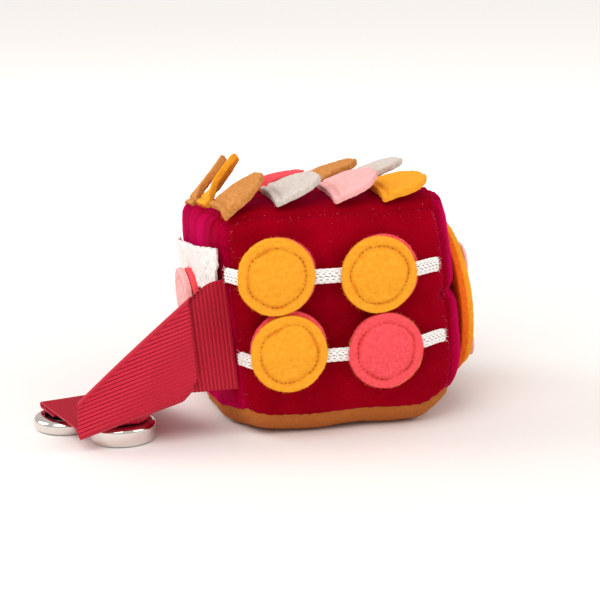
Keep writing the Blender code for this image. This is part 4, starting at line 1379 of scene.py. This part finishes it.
def make_petal(number, finish):
    angle = 2 * pi * (number + 0.5) / PETAL_COUNT
    out = 2 * FELT_THICK + CLEAR + PETAL_CLEAR
    radial = Vector((0, cos(angle), sin(angle)))
    across = Vector((0, -sin(angle), cos(angle)))

    def place(t, across_share, level):
        reach = radial * (PETAL_ROOT_RADIUS + PETAL_LENGTH * t) + across * across_share
        lift = PETAL_LENGTH * t * sin(PETAL_TILT)
        return rosette_point(reach.length, atan2(reach.z, reach.y), out + PETAL_THICK * level + lift)

    node = f"petal_{number + 1}"
    piece = leaf_felt(node + "_felt", PETAL_LENGTH, PETAL_WIDTH, place)
    roughen(piece, ROSETTE_NAP, NAP_SCALE, number)
    dress(piece, finish, node, (node,))


# Making the knitted band


def direction_at(along, height_share):
    """The upright part of block_point's way that meets the left side at a share of its height."""
    whole = 1 + abs(along) ** SQUARENESS
    size = abs(height_share) * (whole / (1 - abs(height_share) ** SQUARENESS)) ** (1 / SQUARENESS)
    return size if height_share > 0 else -size


def make_band():
    def place(u, w):
        longer = BAND_UPPER_REACH * smooth_step((w - BAND_STEP_START) / BAND_STEP_RUN)
        b = crowd(-BAND_END_SHARE - longer, BAND_END_SHARE, u)
        upper = w > 0.5
        ragged = BAND_RAGGED * noise.noise(Vector((b * 14, 2.0 if upper else 5.0, 0)))
        ragged += BAND_FINE_RAGGED * noise.noise(Vector((b * 45, 3.0 if upper else 6.0, 0)))
        height = BAND_HEIGHT + (w - 0.5) * BAND_WIDTH + ragged * abs(2 * w - 1) ** 2
        sloped = height + BAND_SLOPE_SHARE * HALF_WIDTH * b
        c = direction_at(b, (sloped - CENTRE_HEIGHT) / HALF_HEIGHT)
        relief = BAND_RELIEF * noise.noise(Vector((b * 26, w * 9, 1)))
        relief += BAND_FINE_RELIEF * noise.noise(Vector((b * 80, w * 28, 1)))
        return block_point(-1, b, c, grow=CLEAR + BAND_THICK * BAND_OUTER_SHARE + relief)

    piece = laid_grid("side_band_knit", *BAND_CELLS, place)
    thicken(piece, BAND_THICK * BAND_CLOTH_SHARE, -1.0)
    dress(piece, "white knit", "block", ("side_band",))


# Making the ribbon strap


def ribbon_root(height):
    """Where the strap leaves the front left seam at a height."""
    x = -SEAM_REACH + lean(height) - RIBBON_ROOT_OUT
    return Vector((x, -SEAM_REACH - RIBBON_ROOT_BACK, height))


def strap_hinge():
    """The foot of the upright line that the strap swings about."""
    root = ribbon_root(RIBBON_LOW_EDGE + RIBBON_WIDTH / 2)
    return Vector((root.x, root.y, 0))


def ribbon_back_frame():
    """The near end of the low fold, and the way in which the strap runs back from it."""
    hinge = strap_hinge()
    left = hinge.x - RIBBON_FIRST_RUN - RIBBON_WIDTH - pi * DIAGONAL_RADIUS / sqrt(2)
    near = Vector((left, hinge.y - 2 * DIAGONAL_RADIUS, LOW_FOLD_HEIGHT))
    return near, Vector((-sin(BACK_YAW), cos(BACK_YAW), 0))


def ribbon_row(low, high):
    return [low.lerp(high, share) for share in even(0, 1, RIBBON_COLUMNS)]


def between(first, last, count):
    """Evenly spaced rows after the first one, up to the last."""
    return [[a.lerp(b, k / count) for a, b in zip(first, last)] for k in range(1, count + 1)]


def roll_rows(ends, along, beyond, rise, radius, angle, count):
    """Rows that roll a row over a round fold, and carry it along the fold as they do."""
    rows = []
    for k in range(1, count + 1):
        turn = angle * k / count
        shift = along * (radius * turn) + beyond * (radius * sin(turn))
        shift += rise * (radius * (1 - cos(turn)))
        rows.append([end + shift for end in ends])
    return rows


def ribbed(rows, phase, strength=1.0):
    """Pairs each point of some rows with the height of the rib that it lies on."""
    return [[(p, strength * RIB_DEPTH * cos(2 * pi * phase(p))) for p in row] for row in rows]


def first_rows():
    """The strap from its seam to its diagonal fold, where its upper edge droops."""
    low = ribbon_root(RIBBON_LOW_EDGE)
    high = ribbon_root(RIBBON_LOW_EDGE + RIBBON_WIDTH)
    first = ribbon_row(low, high)
    fold_x = strap_hinge().x - RIBBON_FIRST_RUN
    fold = ribbon_row(Vector((fold_x - RIBBON_WIDTH, low.y, low.z)), Vector((fold_x, high.y, high.z)))
    rows = [first] + between(first, fold, FIRST_ROWS)
    for i, row in enumerate(rows):
        along = (i / FIRST_ROWS) ** FOLD_DROOP_ALONG_POWER
        for j, p in enumerate(row):
            p.z -= FOLD_DROOP * (j / RIBBON_COLUMNS) ** FOLD_DROOP_ACROSS_POWER * along
    return rows


def round_corner(face):
    """Pulls the last, lower corner of the strap's face in, where the low fold turns it."""
    for i, row in enumerate(face):
        along = smooth_step((i / len(face) - FOLD_CORNER_START) / (1 - FOLD_CORNER_START))
        for j, p in enumerate(row):
            across = smooth_step((j / RIBBON_COLUMNS - FOLD_CORNER_START) / (1 - FOLD_CORNER_START))
            p += Vector((-1, 0, 1)) * (FOLD_CORNER_PULL * (along * across))


def ribbon_rows():
    """Rows of (place, rib height) pairs from the seam to the hem."""

    def upright(p):
        return (ribbon_root(p.z).x - p.x) / RIB_PITCH

    front = Vector((0, -1, 0))
    run = first_rows()
    diagonal = Vector((-1, 0, -1)).normalized()
    outward = Vector((-1, 0, 1)).normalized()
    turned = roll_rows(run[-1], diagonal, outward, front, DIAGONAL_RADIUS, pi, TURN_ROWS)
    start = turned[-1]
    near = Vector((start[0].x, start[0].y, LOW_FOLD_HEIGHT))
    far = Vector((start[-1].x + FACE_BULGE, start[-1].y, LOW_FOLD_HEIGHT + LOW_FOLD_RISE))
    slope = LOW_FOLD_RISE / RIBBON_WIDTH
    squeeze = 1 / sqrt(1 + slope * slope)

    def sloped(p):
        return ((p.z - near.z) - slope * (p.x - near.x)) * squeeze / RIB_PITCH

    def flattened(p):
        """How far the ribs stand on the face, less towards the low fold."""
        lower = (p.x - near.x) / (far.x - near.x) + (start[-1].z - p.z) / (start[-1].z - near.z)
        return RIB_DEPTH * (1 - RIB_FADE * smooth_step((lower - RIB_FADE_START) / RIB_FADE_RUN))

    face = between(start, ribbon_row(near, far), FACE_ROWS)
    round_corner(face)
    edge = (near - far).normalized()
    down = Vector((-edge.z, 0, edge.x))
    rolled = roll_rows(face[-1], Vector(), down, -front, LOW_FOLD_RADIUS, LOW_FOLD_ANGLE, LOW_FOLD_ROWS)
    rows = ribbed(run, upright) + ribbed(turned, upright, 0.0)
    rows += [[(p, flattened(p) * cos(2 * pi * sloped(p))) for p in row] for row in face]
    return rows + ribbed(rolled, sloped, LOW_FOLD_RIBS) + back_rows(rolled[-1])


def back_rows(start):
    """The strap's run back over both clasp halves, with its curled selvage and its hem."""
    way = ribbon_back_frame()[1]
    thick = RIBBON_SOLID_THICK
    near_height = NEAR_CLASP_HEIGHT + CLEAR + thick / 2
    hem_height = FAR_CLASP_HEIGHT + CLEAR + thick / 2
    far_height = hem_height + thick + WASHER_THICK + 2 * CLEAR
    rise_from = NEAR_CLASP_RUN + WASHER_RADIUS
    rise_over = FAR_CLASP_RUN - WASHER_RADIUS - rise_from
    side = Vector((way.y, -way.x, 0)) * RIBBON_WIDTH
    near_end = Vector((start[0].x, start[0].y, 0)) + way * BACK_RUN
    flat_ends = ribbon_row(near_end, near_end + side)
    columns = even(0, 1, RIBBON_COLUMNS)
    curls = [smooth_step((v - CURL_SHARE) / (1 - CURL_SHARE)) for v in columns]
    delays = [smooth_step((v - FAR_SETTLE_START) / FAR_SETTLE_OVER) for v in columns]
    rows = []
    for k in range(1, BACK_ROWS + 1):
        share = k / BACK_ROWS
        run = share * BACK_RUN
        carried = near_height + (far_height - near_height) * smooth_step((run - rise_from) / rise_over)
        row = []
        for begin, end, curl, slow in zip(start, flat_ends, curls, delays):
            settled = smooth_step(run / (SETTLE_RUN + FAR_SETTLE_RUN * slow))
            flat = begin.lerp(end, share)
            hung = begin.z - CURL_FALL_SHARE * run
            height = carried + curl * (hung - carried)
            row.append(Vector((flat.x, flat.y, begin.z + (height - begin.z) * settled)))
        rib = BACK_RIBS * RIB_DEPTH * cos(2 * pi * run / RIB_PITCH)
        rows.append([(p, rib) for p in row])
    radius = (far_height - hem_height) / 2
    turned = roll_rows(row, Vector(), way, Vector((0, 0, -1)), radius, pi, TURN_ROWS)
    hem = [p - way * HEM for p in turned[-1]]

    def along(p):
        return (p - near_end).dot(way) / RIB_PITCH

    rows += ribbed(turned, along, 0.0)
    return rows + ribbed(between(turned[-1], hem, HEM_ROWS), along, HEM_RIBS)


def make_ribbon():
    rows = ribbon_rows()
    count = len(rows) - 1
    rib_heights = {}

    def place(u, v):
        i = min(int(v * count + 0.5), count)
        j = min(int(u * RIBBON_COLUMNS + 0.5), RIBBON_COLUMNS)
        p, rib = rows[i][j]
        along = rows[min(i + 1, count)][j][0] - rows[max(i - 1, 0)][j][0]
        across = rows[i][min(j + 1, RIBBON_COLUMNS)][0] - rows[i][max(j - 1, 0)][0]
        point = p + along.cross(across).normalized() * rib
        rib_heights[place_key(point)] = 0.5 + 0.5 * rib / RIB_DEPTH
        return point

    piece = laid_grid("strap_grosgrain", RIBBON_COLUMNS, count, place)
    # Keeps each rib's height, from which the ribbon's colour is given a painted highlight on the crests and
    # painted shade in the grooves.
    mark(piece, "rib", rib_heights, 0.5)
    thicken(piece, RIBBON_THICK, 0.0)
    dress(piece, "ribbon", "strap", ("strap_ribbon",))


# Making the clasp halves


def clasp_profile(height):
    """(radius, height) pairs round a drawn case, from the middle of its base to the lip over the magnet."""
    rim = CLASP_RADIUS
    straight = rim - CLASP_ROUND
    turns = even(0, pi / 2, CLASP_ROUND_STEPS)
    pairs = [(0.0, 0.0), (rim * 0.5, 0.0)]
    pairs += [(straight + CLASP_ROUND * sin(turn), CLASP_ROUND - CLASP_ROUND * cos(turn)) for turn in turns]
    high = height - CLASP_ROUND
    pairs += [(straight + CLASP_ROUND * cos(turn), high + CLASP_ROUND * sin(turn)) for turn in turns]
    inside = height - CLASP_WALL
    pairs += [(CLASP_MOUTH + CLASP_LIP, height), (CLASP_MOUTH, height - CLASP_LIP), (CLASP_MOUTH, inside)]
    pairs += [(rim - CLASP_BEVEL, inside), (rim - CLASP_WALL, inside - CLASP_SHOULDER)]
    pairs += [(rim - CLASP_WALL, CLASP_ROUND), (rim - CLASP_BEVEL, CLASP_WALL), (0.0, CLASP_WALL)]
    return pairs


def make_clasps():
    near, way = ribbon_back_frame()
    side = Vector((way.y, -way.x, 0))
    middle = near + side * (RIBBON_WIDTH / 2)
    places = {
        "near": (middle + way * NEAR_CLASP_RUN, NEAR_CLASP_HEIGHT),
        "far": (middle + way * FAR_CLASP_RUN - side * FAR_CLASP_SHIFT, FAR_CLASP_HEIGHT),
    }
    for name, (centre, case_height) in places.items():
        pairs = clasp_profile(case_height)
        last = len(pairs) - 1

        def place(u, v, centre=centre, pairs=pairs):
            radius, height = pairs[min(int(v * last + 0.5), last)]
            turn = 2 * pi * u
            return Vector((centre.x + radius * cos(turn), centre.y + radius * sin(turn), height))

        shell = close_up(laid_grid(f"{name}_clasp_shell", CLASP_AROUND, last, place))
        dress(shell, "chrome", "strap", (f"{name}_clasp_case",))
        make_active(shell)
        bpy.ops.object.shade_smooth_by_angle(angle=radians(40))
        for part, finish in (("magnet", "magnet"), ("washer", "steel")):
            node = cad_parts[f"{name}_clasp_{part}"]
            node.data.materials.clear()
            node.data.materials.append(materials[finish])


bpy.context.scene.view_settings.view_transform = "Standard"
materials = make_materials()
make_camera()
make_world()
for light_name, light_facts in LIGHTS.items():
    make_light(light_name, *light_facts)
make_floor()
make_cube()
make_lint()
make_cords()
for disc_name, disc_facts in DISCS.items():
    make_disc(disc_name, *disc_facts)
make_flaps()
make_rosette()
make_band()
make_ribbon()
make_clasps()
